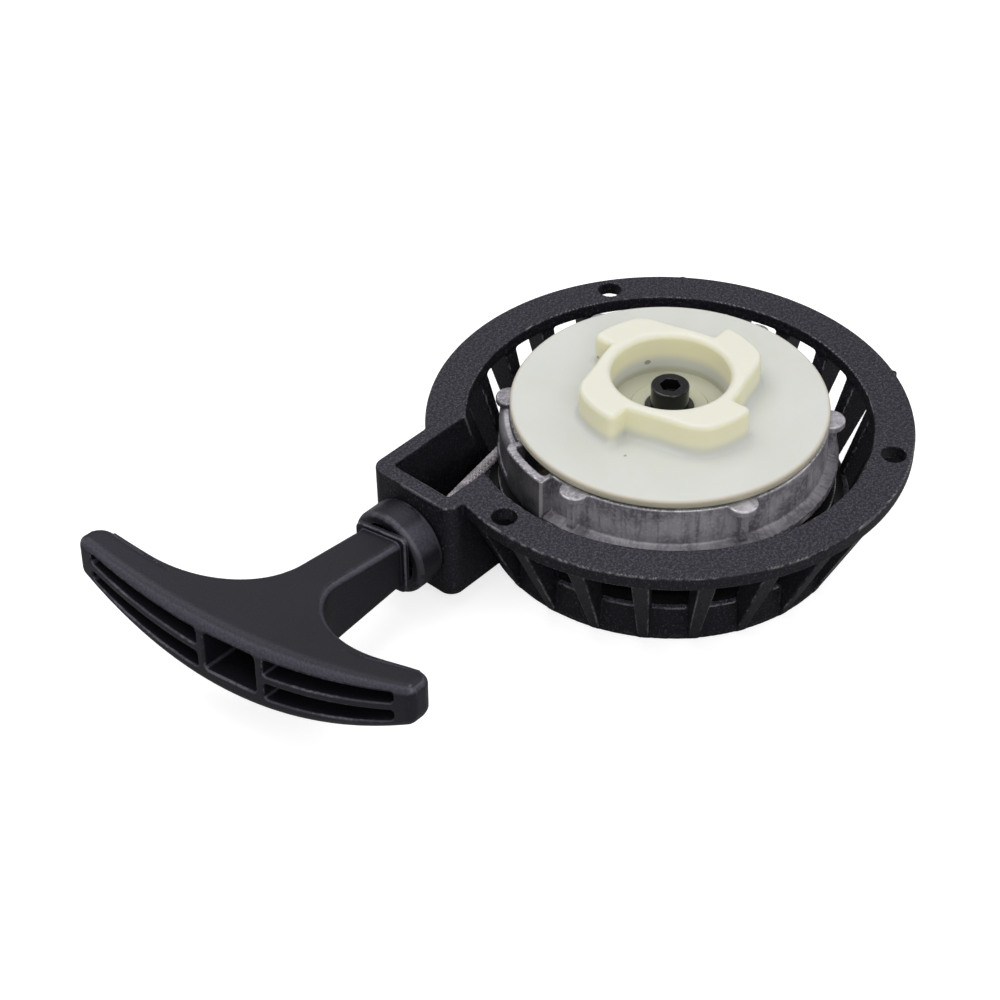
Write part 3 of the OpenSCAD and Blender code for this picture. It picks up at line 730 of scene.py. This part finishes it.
def washer_shape(x, y, z):
    """Distance to the washer under the screw's head."""
    radius = np.hypot(x, y)
    return both(slab(radius, SHANK_R, HEAD_R + 0.8), slab(z, HEAD_Z - WASHER_T, HEAD_Z), 0.15)


def add_small_parts():
    """Collar, screw and washer as finished meshes."""
    out = COLLAR_R
    collar = skin("rope_collar_moulding", collar_shape, (0, -out, -out), (COLLAR_L, out, out), 0.35,
                  Matrix.Translation(SEAT))
    screw = skin("centre_screw_turned", screw_shape, *box_mm("centre_screw"), 0.2)
    washer = skin("retaining_washer_turned", washer_shape, *box_mm("retaining_washer"), 0.16)
    return collar, screw, washer


collar, screw, washer = add_small_parts()

# %% [markdown]
# ## Knots
#
# A knot stops the rope at each end: one inside the drum, one on the washer in the handle's window. A real
# knot is a tangle that no short rule gives. Here it is two rings of rope that lean across each other, with a
# ripple for the strands, which is all that a pulled-tight knot shows.

# %% Knots
KNOT_R, KNOT_HALF_L, RING_AT, RING_THICK = 4.0, 1.8, 2.8, 1.0
SMALL_KNOT, KNOT_GAP = 0.75, 0.1


def knot_shape(x, y, z):
    """Distance to a stopper knot round a rope along x: two crossed rings of laid strands."""
    radius, angle = np.hypot(y, z), np.arctan2(z, y)
    body = drum(radius, x, 2.4, -1.3, 1.3, 0.5)
    for way in (-1, 1):
        lean = x - way * (0.3 + 0.1 * y)
        laid = 0.07 * np.cos(9 * angle + 2 * way * np.arctan2(lean, radius - RING_AT))
        body = np.minimum(body, np.hypot(radius - RING_AT, lean) - RING_THICK + laid)
    return body


def small_knot_shape(x, y, z):
    """Distance to the same knot, three quarters as large."""
    return knot_shape(x / SMALL_KNOT, y / SMALL_KNOT, z / SMALL_KNOT) * SMALL_KNOT


def add_knots():
    """The knots at the rope's two ends: inside the drum, and in the handle's window."""
    out, small = KNOT_R, KNOT_R * SMALL_KNOT
    knot_at = DRUM_R - DRUM_WALL - KNOT_GAP - KNOT_HALF_L * SMALL_KNOT
    drum_place = Matrix.Translation((knot_at, 0, ROPE_Z))
    in_drum = skin("reel_knot_tied", small_knot_shape, (-1.5, -small, -small), (1.5, small, small), 0.16,
                   turned("Z", KNOT_ANGLE).to_4x4() @ drum_place, has_flats=False)
    window_place = handle_place() @ Matrix.Translation((WINDOW_FLOOR + 2.8, 0, 0))
    in_window = skin("handle_knot_tied", knot_shape, (-KNOT_HALF_L, -out, -out), (KNOT_HALF_L, out, out), 0.2,
                     window_place, has_flats=False)
    return in_drum, in_window


reel_knot, handle_knot = add_knots()

# %% [markdown]
# ## Rope
#
# The rope is a braid: half of its strands wind one way, half the other, and each passes over and under those
# that it meets. Worked out point by point that is a long table. Geometry Nodes say it in one line of
# thought: walk along any path, and at each point step aside in a direction that turns with the length
# walked, by a distance that swells and shrinks so that one strand rises where the other dips. One recipe
# then makes a fine braid for the lengths that show and a coarser one for the turns on the drum.

# %% One strand of a braid
CORE_SIDES, STRAND_SIDES = 10, 6
print("sides of the core and of a strand:", CORE_SIDES, STRAND_SIDES)


def vectors(tree, operation, *values, **named):
    """Result of one sum on directions."""
    inputs = {**dict(enumerate(values)), **named}
    return put(tree, "ShaderNodeVectorMath", inputs, operation=operation).outputs[0]


def swept(tree, path, radius, sides):
    """Round bar along a path, with closed ends."""
    circle = {"Resolution": sides, "Radius": radius}
    section = put(tree, "GeometryNodeCurvePrimitiveCircle", circle).outputs[0]
    bar = {"Curve": path, "Profile Curve": section, "Fill Caps": True}
    return put(tree, "GeometryNodeCurveToMesh", bar).outputs[0]


def strand(tree, given, path, way, phase, crossings):
    """One strand: the path's points moved aside along a woven helix, then given a round section."""
    walked = put(tree, "GeometryNodeSplineParameter").outputs["Length"]
    turns = sums(tree, "DIVIDE", walked, given["Pitch"])
    angle = sums(tree, "MULTIPLY_ADD", turns, way * 2 * math.pi, phase)
    wave = sums(tree, "COSINE", sums(tree, "MULTIPLY", turns, crossings * math.pi))
    rising = sums(tree, "MULTIPLY", wave, way)
    aside = sums(tree, "MULTIPLY_ADD", rising, given["Weave"], given["Strand Offset"])
    normal = put(tree, "GeometryNodeInputNormal").outputs[0]
    tangent = put(tree, "GeometryNodeInputTangent").outputs[0]
    across = vectors(tree, "CROSS_PRODUCT", tangent, normal)
    parts = []
    for direction, kind in ((normal, "COSINE"), (across, "SINE")):
        length = sums(tree, "MULTIPLY", sums(tree, kind, angle), aside)
        parts.append(vectors(tree, "SCALE", direction, Scale=length))
    moved = put(tree, "GeometryNodeSetPosition", {"Geometry": path, "Offset": vectors(tree, "ADD", *parts)})
    return swept(tree, moved.outputs[0], given["Strand Radius"], STRAND_SIDES)


# %% The tree that braids a rope, and its use on a path
def braid_tree(name, pairs, material):
    """Geometry Nodes tree that braids pairs of strands along a path."""
    tree = bpy.data.node_groups.new(name, "GeometryNodeTree")
    tree.interface.new_socket("Path", in_out="INPUT", socket_type="NodeSocketGeometry")
    for label in ("Strand Radius", "Strand Offset", "Weave", "Pitch", "Step"):
        tree.interface.new_socket(label, in_out="INPUT", socket_type="NodeSocketFloat")
    tree.interface.new_socket("Rope", in_out="OUTPUT", socket_type="NodeSocketGeometry")
    given = tree.nodes.new("NodeGroupInput").outputs
    walk = {"Curve": given["Path"], "Length": given["Step"]}
    path = put(tree, "GeometryNodeResampleCurve", walk, mode="LENGTH").outputs[0]
    join = put(tree, "GeometryNodeJoinGeometry")
    tree.links.new(swept(tree, path, given["Strand Offset"], CORE_SIDES), join.inputs[0])
    for k in range(pairs):
        for way in (1, -1):
            one = strand(tree, given, path, way, 2 * math.pi * k / pairs, 2 * pairs)
            tree.links.new(one, join.inputs[0])
    smooth = put(tree, "GeometryNodeSetShadeSmooth", {"Geometry": join.outputs[0]}).outputs[0]
    real = put(tree, "GeometryNodeRealizeInstances", {0: smooth}).outputs[0]
    done = put(tree, "GeometryNodeSetMaterial", {"Geometry": real, "Material": material}).outputs[0]
    put(tree, "NodeGroupOutput", {"Rope": done})
    return tree


def braid(name, points, tree, **sizes):
    """Mesh of a braided rope along points, in millimetres."""
    curve = bpy.data.curves.new(name + "_path", "CURVE")
    curve.dimensions = "3D"
    spline = curve.splines.new("POLY")
    spline.points.add(len(points) - 1)
    for point, place in zip(spline.points, points):
        point.co = (*[v * MM for v in place], 1)
    path = into_scene(name + "_path", curve)
    modifier = path.modifiers.new("rope", "NODES")
    modifier.node_group = tree
    for socket in tree.interface.items_tree:
        key = socket.name.replace(" ", "_").lower()
        if key in sizes:
            modifier[socket.identifier] = sizes[key] * MM
    bpy.context.view_layer.update()
    mesh = bpy.data.meshes.new_from_object(path.evaluated_get(bpy.context.evaluated_depsgraph_get()))
    bpy.data.objects.remove(path)
    print(f"{name}: {len(mesh.polygons)} faces")
    return into_scene(name, mesh)


# %% [markdown]
# ## Finishes
#
# Every finish is a set of nodes on object coordinates, so that a pattern keeps its true size on every part.
# A few effects are shared: the fine grain of a moulding, the wear on edges, which reads the edge mark that
# each shape carries, and the streaks that a casting's mould leaves.

# %% Shared effects
def srgb(*levels):
    """Colour as a screen shows it, 0 to 255, turned into the linear light that shaders use."""
    return tuple((v / 255 / 12.92) if v <= 10 else ((v / 255 + 0.055) / 1.055)**2.4 for v in levels) + (1,)


def effect(name, inputs, outputs):
    """Empty shader node group with its named sockets; outputs are all plain values."""
    tree = bpy.data.node_groups.new(name, "ShaderNodeTree")
    for label, value in inputs.items():
        tree.interface.new_socket(label, in_out="INPUT", socket_type="NodeSocketFloat").default_value = value
    for label in outputs:
        tree.interface.new_socket(label, in_out="OUTPUT", socket_type="NodeSocketFloat")
    return tree, tree.nodes.new("NodeGroupInput").outputs, tree.nodes.new("NodeGroupOutput")


def steps(tree, value, low, high):
    """Smooth step from 0 to 1 as a value goes from one level to another."""
    levels = {"Value": value, "From Min": low, "From Max": high}
    return put(tree, "ShaderNodeMapRange", levels, interpolation_type="SMOOTHSTEP").outputs["Result"]


def multiplied(tree, a, b):
    """Product of two values."""
    return sums(tree, "MULTIPLY", a, b)


def object_place(tree):
    """X, Y and Z on the piece itself, in metres."""
    place = put(tree, "ShaderNodeTexCoord").outputs["Object"]
    return put(tree, "ShaderNodeSeparateXYZ", {0: place}).outputs


def noise(tree, scale, detail=3.0, place=None, distortion=0.0):
    """Noise value in space."""
    place = place or put(tree, "ShaderNodeTexCoord").outputs["Object"]
    return put(tree, "ShaderNodeTexNoise", {"Vector": place, "Scale": scale, "Detail": detail,
                                            "Distortion": distortion}).outputs["Fac"]


def grain_effect():
    """Grain, rare specks and slow patches of a moulded surface."""
    tree, given, out = effect("moulding_grain", {"Scale": 1200.0, "Patch Scale": 45.0},
                              ("Grain", "Specks", "Patches"))
    tree.links.new(noise(tree, given["Scale"], 4), out.inputs["Grain"])
    tree.links.new(noise(tree, given["Patch Scale"], 3), out.inputs["Patches"])
    fine = multiplied(tree, given["Scale"], 1.6)
    tree.links.new(steps(tree, noise(tree, fine, 1), 0.60, 0.72), out.inputs["Specks"])
    return tree


def wear_effect():
    """Worn parts of edges: the edge mark, broken up by two sizes of noise."""
    tree, given, out = effect("edge_wear", {"Amount": 0.5, "Scale": 400.0}, ("Wear",))
    edge = put(tree, "ShaderNodeAttribute", attribute_name="edge").outputs["Fac"]
    broken = sums(tree, "ADD", noise(tree, given["Scale"], 3), noise(tree, 60.0, 2))
    above = sums(tree, "SUBTRACT", broken, sums(tree, "SUBTRACT", 1.45, given["Amount"]))
    worn = multiplied(tree, steps(tree, above, -0.1, 0.15), steps(tree, edge, 0.1, 0.6))
    tree.links.new(worn, out.inputs["Wear"])
    return tree


def streak_effect():
    """Streaks that run up a round wall; two scales say how fine they are around it and up it."""
    tree, given, out = effect("casting_streaks", {"Around": 60.0, "Up": 60.0}, ("Streaks",))
    place = object_place(tree)
    flat = put(tree, "ShaderNodeCombineXYZ", {"X": place["X"], "Y": place["Y"]}).outputs[0]
    wide = vectors(tree, "SCALE", vectors(tree, "NORMALIZE", flat), Scale=given["Around"])
    up = put(tree, "ShaderNodeCombineXYZ", {"Z": multiplied(tree, place["Z"], given["Up"])}).outputs[0]
    tree.links.new(noise(tree, 1.0, 4, vectors(tree, "ADD", wide, up), 0.4), out.inputs["Streaks"])
    return tree


GRAIN, WEAR, STREAKS = grain_effect(), wear_effect(), streak_effect()
print("shared effects:", [t.name for t in (GRAIN, WEAR, STREAKS)])

# %% Helpers for one finish
def placed(tree, effect_tree, **values):
    """A shared effect placed in a material, with its own values."""
    node = tree.nodes.new("ShaderNodeGroup")
    node.node_tree = effect_tree
    for label, value in values.items():
        node.inputs[label.replace("_", " ")].default_value = value
    return node.outputs


def mixed(tree, share, a, b):
    """Colour between a and b."""
    return put(tree, "ShaderNodeMix", {0: share, 6: a, 7: b}, data_type="RGBA").outputs[2]


def levelled(tree, *parts):
    """Sum of values, each times its weight, on a starting level."""
    total = parts[0]
    for value, weight in parts[1:]:
        total = sums(tree, "MULTIPLY_ADD", value, weight, total)
    return total


def bumped(tree, height, strength, distance):
    """Normal that a height gives, distance in millimetres."""
    inputs = {"Height": height, "Strength": strength, "Distance": distance * MM}
    return put(tree, "ShaderNodeBump", inputs).outputs[0]


def upward(tree):
    """How far the surface faces up, 1 on a level top and 0 on a wall."""
    facing = put(tree, "ShaderNodeNewGeometry").outputs["Normal"]
    return put(tree, "ShaderNodeSeparateXYZ", {0: facing}).outputs["Z"]


def new_finish(name, **constants):
    """Material with its tree and its shader, and the shader's constant values."""
    material = bpy.data.materials.new(name)
    material.use_nodes = True
    tree = material.node_tree
    shader = tree.nodes["Principled BSDF"]
    for label, value in constants.items():
        shader.inputs[label.replace("_", " ")].default_value = value
    return material, tree, shader


def feed(tree, shader, **sockets):
    """Links values to the shader's inputs."""
    for label, socket in sockets.items():
        tree.links.new(socket, shader.inputs[label.replace("_", " ")])


print("mid grey on a screen is", round(srgb(128)[0], 3), "in linear light")

# %% [markdown]
# ## Black plastic
#
# The housing is a rough moulding: its upper faces are grainy and carry light specks, more in some patches
# than in others, and its outer edge is scuffed to a broken grey line. The handle is smoother, with a soft
# sheen, and its rounded shoulders carry a painted highlight. Both finishes start from nearly black,
# because most of what the eye sees on black plastic is reflected light. That light is tinted slightly blue.

# %% Black plastic finishes
COOL = (0.86, 0.83, 1.0, 1)


def housing_finish():
    """Grainy black plastic with scuffed edges."""
    material, tree, shader = new_finish("housing_black", IOR=1.46, Specular_Tint=COOL)
    grain = placed(tree, GRAIN, Scale=1300.0, Patch_Scale=55.0)
    wear = placed(tree, WEAR, Amount=0.48, Scale=520.0)["Wear"]
    top = steps(tree, upward(tree), 0.5, 0.95)
    light = mixed(tree, top, srgb(20, 19, 25), srgb(50, 48, 57))
    base = mixed(tree, steps(tree, grain["Grain"], 0.42, 0.62), srgb(7, 7, 10), light)
    specks = multiplied(tree, grain["Specks"], levelled(tree, 0.03, (top, 0.12), (grain["Patches"], 0.3)))
    specked = mixed(tree, specks, base, srgb(140, 137, 147))
    feed(tree, shader,
         Base_Color=mixed(tree, multiplied(tree, wear, 0.55), specked, srgb(150, 146, 146)),
         Roughness=levelled(tree, 0.42, (grain["Patches"], 0.2), (wear, 0.2)),
         Normal=bumped(tree, levelled(tree, grain["Grain"], (grain["Specks"], 0.5)), 1.0, 0.17))
    return material


def handle_finish():
    """Satin black plastic with a painted highlight along its rounded edges."""
    material, tree, shader = new_finish("handle_black", IOR=1.48, Specular_Tint=COOL)
    grain = placed(tree, GRAIN, Scale=1700.0, Patch_Scale=40.0)
    wear = placed(tree, WEAR, Amount=0.42, Scale=700.0)["Wear"]
    smooth = mixed(tree, grain["Patches"], srgb(14, 13, 18), srgb(24, 23, 29))
    up = upward(tree)
    # Painted highlight: faces that slant upwards on the rounded edges get a lighter grey that stands in for a
    # lamp's highlight.
    highlight_band = multiplied(tree, steps(tree, up, 0.25, 0.5), steps(tree, up, 0.93, 0.82))
    painted_highlight = multiplied(tree, highlight_band, levelled(tree, 0.45, (steps(tree, grain["Grain"], 0.35, 0.7), 0.35)))
    base = mixed(tree, painted_highlight, smooth, srgb(74, 71, 81))
    feed(tree, shader,
         Base_Color=mixed(tree, multiplied(tree, wear, 0.4), base, srgb(120, 118, 124)),
         Roughness=levelled(tree, 0.36, (grain["Patches"], 0.12), (wear, 0.15)),
         Normal=bumped(tree, grain["Grain"], 0.8, 0.12))
    return material


HOUSING_BLACK, HANDLE_BLACK = housing_finish(), handle_finish()
print("black plastics:", HOUSING_BLACK.name, HANDLE_BLACK.name)

# %% [markdown]
# ## Cast aluminium, nylon and steel
#
# The casting is dull and blotchy with streaks up its wall, and only its edges are bright. Painted shade
# darkens its wall on the side of the rope box and makes it nearly black below the cup. Nylon is milky: light
# enters it and comes back out a little warmer, which is what subsurface scattering does; painted shade also
# tints the ring's walls, the rim and the underside of the disc. The screw and washer are blackened steel,
# glossy from oil. The hidden metal parts have plainer finishes of the same kind.

# %% Casting and nylon
def casting_finish():
    """Dull die-cast aluminium with streaks and bright edges."""
    material, tree, shader = new_finish("cast_aluminium", Metallic=0.55)
    streaks = placed(tree, STREAKS, Around=34.0, Up=60.0)["Streaks"]
    grain = placed(tree, GRAIN, Scale=1100.0, Patch_Scale=120.0)
    wear = placed(tree, WEAR, Amount=0.85, Scale=300.0)["Wear"]
    blotch = mixed(tree, steps(tree, grain["Patches"], 0.35, 0.65), srgb(128, 125, 133), srgb(186, 182, 189))
    streaked = mixed(tree, multiplied(tree, steps(tree, streaks, 0.45, 0.75), 0.7), blotch, srgb(96, 94, 101))
    place = object_place(tree)
    specks = multiplied(tree, steps(tree, grain["Grain"], 0.45, 0.65), 0.45)
    speckled = mixed(tree, specks, streaked, srgb(206, 203, 209))
    # Painted shade: darker from a little above the cup's floor downwards.
    painted_low_shade = multiplied(tree, steps(tree, place["Z"], -0.0075, -0.0095), 0.6)
    shaded = mixed(tree, painted_low_shade, speckled, srgb(74, 72, 78))
    # Painted shade: the wall on the side of the rope box is darkened, broken up by the streaks.
    toward_box = levelled(tree, 0.0, (place["X"], 0.6), (place["Y"], -0.8))
    wall = steps(tree, upward(tree), 0.97, 0.85)
    flank_shade = multiplied(tree, wall, steps(tree, toward_box, 0.024, 0.037))
    flank_shade = multiplied(tree, flank_shade, levelled(tree, 0.95, (streaks, -0.45)))
    flank_shaded = mixed(tree, flank_shade, shaded, srgb(42, 42, 50))
    # Painted shade: nearly black from the rope groove downwards.
    deep_shaded = mixed(tree, steps(tree, place["Z"], -0.012, -0.017), flank_shaded, srgb(30, 30, 33))
    feed(tree, shader,
         Base_Color=mixed(tree, multiplied(tree, wear, 0.7), deep_shaded, srgb(214, 211, 214)),
         Roughness=levelled(tree, 0.36, (grain["Patches"], 0.2), (streaks, 0.15), (wear, -0.15)),
         Normal=bumped(tree, levelled(tree, grain["Grain"], (streaks, 1.5)), 0.5, 0.10))
    return material


def nylon_finish():
    """Milky natural nylon with faint flow marks, a few dark specks and painted shade on its walls, rim and
    underside.
    """
    material, tree, shader = new_finish("nylon", Subsurface_Weight=0.45, Subsurface_Scale=0.006, IOR=1.53)
    shader.inputs["Subsurface Radius"].default_value = (1.0, 0.9, 0.55)
    grain = placed(tree, GRAIN, Scale=700.0, Patch_Scale=35.0)
    flow = noise(tree, 18.0, 5.0, distortion=1.5)
    place = object_place(tree)
    radius = sums(tree, "SQRT", sums(tree, "ADD", multiplied(tree, place["X"], place["X"]),
                                     multiplied(tree, place["Y"], place["Y"])))
    thin = mixed(tree, steps(tree, flow, 0.35, 0.7), srgb(205, 206, 201), srgb(200, 202, 195))
    # The thick ring has its own cream, plus a painted shade tint, warmer and yellower, on faces that do not
    # face up.
    thick_tone_and_side_shade = mixed(tree, steps(tree, upward(tree), 0.2, 0.9), srgb(236, 233, 204), srgb(218, 217, 204))
    tint = mixed(tree, steps(tree, place["Z"], 0.0054, 0.0095), thin, thick_tone_and_side_shade)
    # Painted shade: a warm brown tint on the disc's outer rim.
    rim = multiplied(tree, steps(tree, radius, 0.0412, 0.0424), 0.6)
    tint = mixed(tree, rim, tint, srgb(178, 160, 138))
    # Painted shade: greyer cream on the disc's lower edge and everything below it.
    tint = mixed(tree, steps(tree, place["Z"], 0.0052, 0.0034), tint, srgb(186, 186, 166))
    speck = steps(tree, noise(tree, 400.0, 0), 0.86, 0.89)
    feed(tree, shader,
         Base_Color=mixed(tree, multiplied(tree, speck, 0.7), tint, srgb(120, 105, 80)),
         Roughness=levelled(tree, 0.40, (grain["Patches"], 0.12)),
         Normal=bumped(tree, levelled(tree, grain["Grain"], (flow, 2.0)), 0.25, 0.06))
    return material


CASTING, NYLON = casting_finish(), nylon_finish()
for material in (CASTING, NYLON):
    print(material.name, "has", len(material.node_tree.nodes), "nodes")

# %% Plain metals
def metal_finish(name, dark, light, roughness, metallic=1.0):
    """Plain metal with a fine grain and worn edges."""
    material, tree, shader = new_finish(name, Metallic=metallic)
    grain = placed(tree, GRAIN, Scale=900.0, Patch_Scale=160.0)
    wear = placed(tree, WEAR, Amount=0.5, Scale=500.0)["Wear"]
    base = mixed(tree, grain["Patches"], srgb(*dark), srgb(*light))
    bare = srgb(*[min(255, v + 60) for v in light])
    feed(tree, shader,
         Base_Color=mixed(tree, multiplied(tree, wear, 0.4), base, bare),
         Roughness=levelled(tree, roughness, (grain["Patches"], 0.18)),
         Normal=bumped(tree, grain["Grain"], 0.3, 0.04))
    return material


BLACK_STEEL = metal_finish("black_steel", (18, 18, 20), (34, 34, 37), 0.10, 0.5)
ZINC_STEEL = metal_finish("zinc_steel", (150, 150, 148), (190, 190, 186), 0.30)
SPRING_STEEL = metal_finish("spring_steel", (70, 74, 84), (112, 116, 124), 0.28)
BRONZE = metal_finish("bronze", (60, 56, 50), (88, 82, 74), 0.45)
print("metals:", [metal.name for metal in (BLACK_STEEL, ZINC_STEEL, SPRING_STEEL, BRONZE)])

# %% [markdown]
# ## Rope finish
#
# A worn rope is greyish off-white, darker in the grooves between its strands. The strands are real shapes
# here, so the finish only adds the fine fibres, as a noise on object coordinates, and the grey of use.

# %% Rope finish
def rope_finish():
    """Greyish rope with fine fibres."""
    material, tree, shader = new_finish("rope", Roughness=0.85, Sheen_Weight=0.3)
    fibres = noise(tree, 3800.0, 2)
    dirt = noise(tree, 260.0, 3)
    feed(tree, shader,
         Base_Color=mixed(tree, steps(tree, dirt, 0.35, 0.7), srgb(188, 182, 187), srgb(142, 136, 142)),
         Normal=bumped(tree, fibres, 0.6, 0.12))
    return material


ROPE_GREY = rope_finish()
print("rope:", ROPE_GREY.name, "with", len(ROPE_GREY.node_tree.nodes), "nodes")

# %% [markdown]
# ## Laying the rope
#
# The straight run keeps the height that the drum and the eyelet give it. On the drum the rope lies in two
# layers of two turns, one on the other. Inside the handle it follows the handle's own axis to the knot in
# the window.

# %% The rope's three lengths
COIL_RADII = (37.2, 39.99)
COIL_HALF = 1.8
TURN_POINTS, CHANGE_POINTS = 60, 12
BEND_X = BOX_IN + 2
STRAND_R, WEAVE, PITCH = 0.40, 0.10, 9.0
COIL_STRAND_R, COIL_WEAVE, COIL_PITCH = 0.5, 0.05, 10.0


def run_ends():
    """Ends of the straight run between the drum and the eyelet."""
    bend_at = np.array([BEND_X, SEAT[1], SEAT[2]])
    leave = math.atan2(SEAT[1], BEND_X) - math.acos(COIL_RADII[1] / math.hypot(BEND_X, SEAT[1]))
    start = np.array([COIL_RADII[1] * math.cos(leave), COIL_RADII[1] * math.sin(leave), ROPE_Z])
    along = (bend_at - start) / np.linalg.norm(bend_at - start)
    clear = math.sqrt((COIL_RADII[1] + 3.3)**2 - COIL_RADII[1]**2)
    return start + clear * along, bend_at - 0.3 * along


def coil_path():
    """Four turns on the drum: two side by side, then two on top of them."""
    inner, outer = COIL_RADII
    places = [(inner, -COIL_HALF), (inner, COIL_HALF), (outer, COIL_HALF), (outer, -COIL_HALF)]
    points = []
    for turn, (r, z) in enumerate(places):
        r_next, z_next = places[min(turn + 1, 3)]
        for i in range(TURN_POINTS):
            share = max(0.0, (i - TURN_POINTS + CHANGE_POINTS) / CHANGE_POINTS)
            a = math.radians(KNOT_ANGLE + 360 / TURN_POINTS * i)
            radius, height = r + (r_next - r) * share, z + (z_next - z) * share
            points.append((radius * math.cos(a), radius * math.sin(a), ROPE_Z + height))
    return points[2:-2]


def tail_path():
    """Along the handle's axis, from the eyelet to the knot."""
    place = handle_place()
    steps_along = np.linspace(BEND_X - BOX_END + 0.3, WINDOW_FLOOR + 2.6, 30)
    return [tuple(place @ Vector((x, 0, 0))) for x in steps_along]


def add_ropes():
    """The run and the tail as a fine braid, and the turns on the drum as a coarser one."""
    fine = braid_tree("fine_braid", 6, ROPE_GREY)
    coarse = braid_tree("coarse_braid", 4, ROPE_GREY)
    small = {"strand_radius": STRAND_R, "strand_offset": ROPE_R - STRAND_R - WEAVE, "weave": WEAVE,
             "pitch": PITCH}
    large = {"strand_radius": COIL_STRAND_R, "strand_offset": ROPE_R - COIL_STRAND_R - COIL_WEAVE,
             "weave": COIL_WEAVE, "pitch": COIL_PITCH}
    run = braid("rope_run_braid", [tuple(p) for p in np.linspace(*run_ends(), 20)], fine, step=0.2, **small)
    coil = braid("rope_coil_braid", coil_path(), coarse, step=0.9, **large)
    tail = braid("rope_tail_braid", tail_path(), fine, step=0.2, **small)
    return run, coil, tail


rope_run, rope_coil, rope_tail = add_ropes()

# %% [markdown]
# ## Each piece on its body
#
# A replacement piece takes its body from the part that it stands for. The parts that keep their own mesh
# only need a finish.

# %% Put the pieces on their bodies
PIECES = [
    # piece, finish, the record's material slot, part that it stands for
    (housing, HOUSING_BLACK, "black_plastic", "housing"),
    (reel, CASTING, "cast_aluminium", "reel"),
    (disc, NYLON, "nylon", "drive_disc"),
    (handle, HANDLE_BLACK, "black_plastic", "pull_handle"),
    (collar, HANDLE_BLACK, "black_plastic", "rope_collar"),
    (screw, BLACK_STEEL, "black_steel", "centre_screw"),
    (washer, BLACK_STEEL, "black_steel", "retaining_washer"),
    (rope_run, ROPE_GREY, "rope", "rope_run"),
    (rope_coil, ROPE_GREY, "rope", "rope_coil"),
    (rope_tail, ROPE_GREY, "rope", "rope_tail"),
    (reel_knot, ROPE_GREY, "rope", "reel_knot"),
    (handle_knot, ROPE_GREY, "rope", "handle_knot"),
]
KEPT = {
    "centre_post": ZINC_STEEL, "thrust_washer": ZINC_STEEL, "handle_washer": ZINC_STEEL,
    "recoil_spring": SPRING_STEEL, "drive_spring": SPRING_STEEL, "spring_cover": BLACK_STEEL,
    "rope_eyelet": BRONZE, "reel_bush": BRONZE, "disc_bush": BRONZE,
}


def body_with(node):
    """Name of the body that a part rides on."""
    bodies = frame["record"]["behaviour"]["bodies"]
    return next(body for body, nodes in bodies.items() if node in nodes)


def give_finish(piece, material):
    """One finish over the whole piece."""
    piece.data.materials.clear()
    piece.data.materials.append(material)


for piece, material, slot, node in PIECES:
    give_finish(piece, material)
    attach(piece, body_with(node))
    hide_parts(node)
for node, material in KEPT.items():
    give_finish(frame["nodes"][node], material)
print("new pieces:", len(PIECES), "kept parts:", len(KEPT))
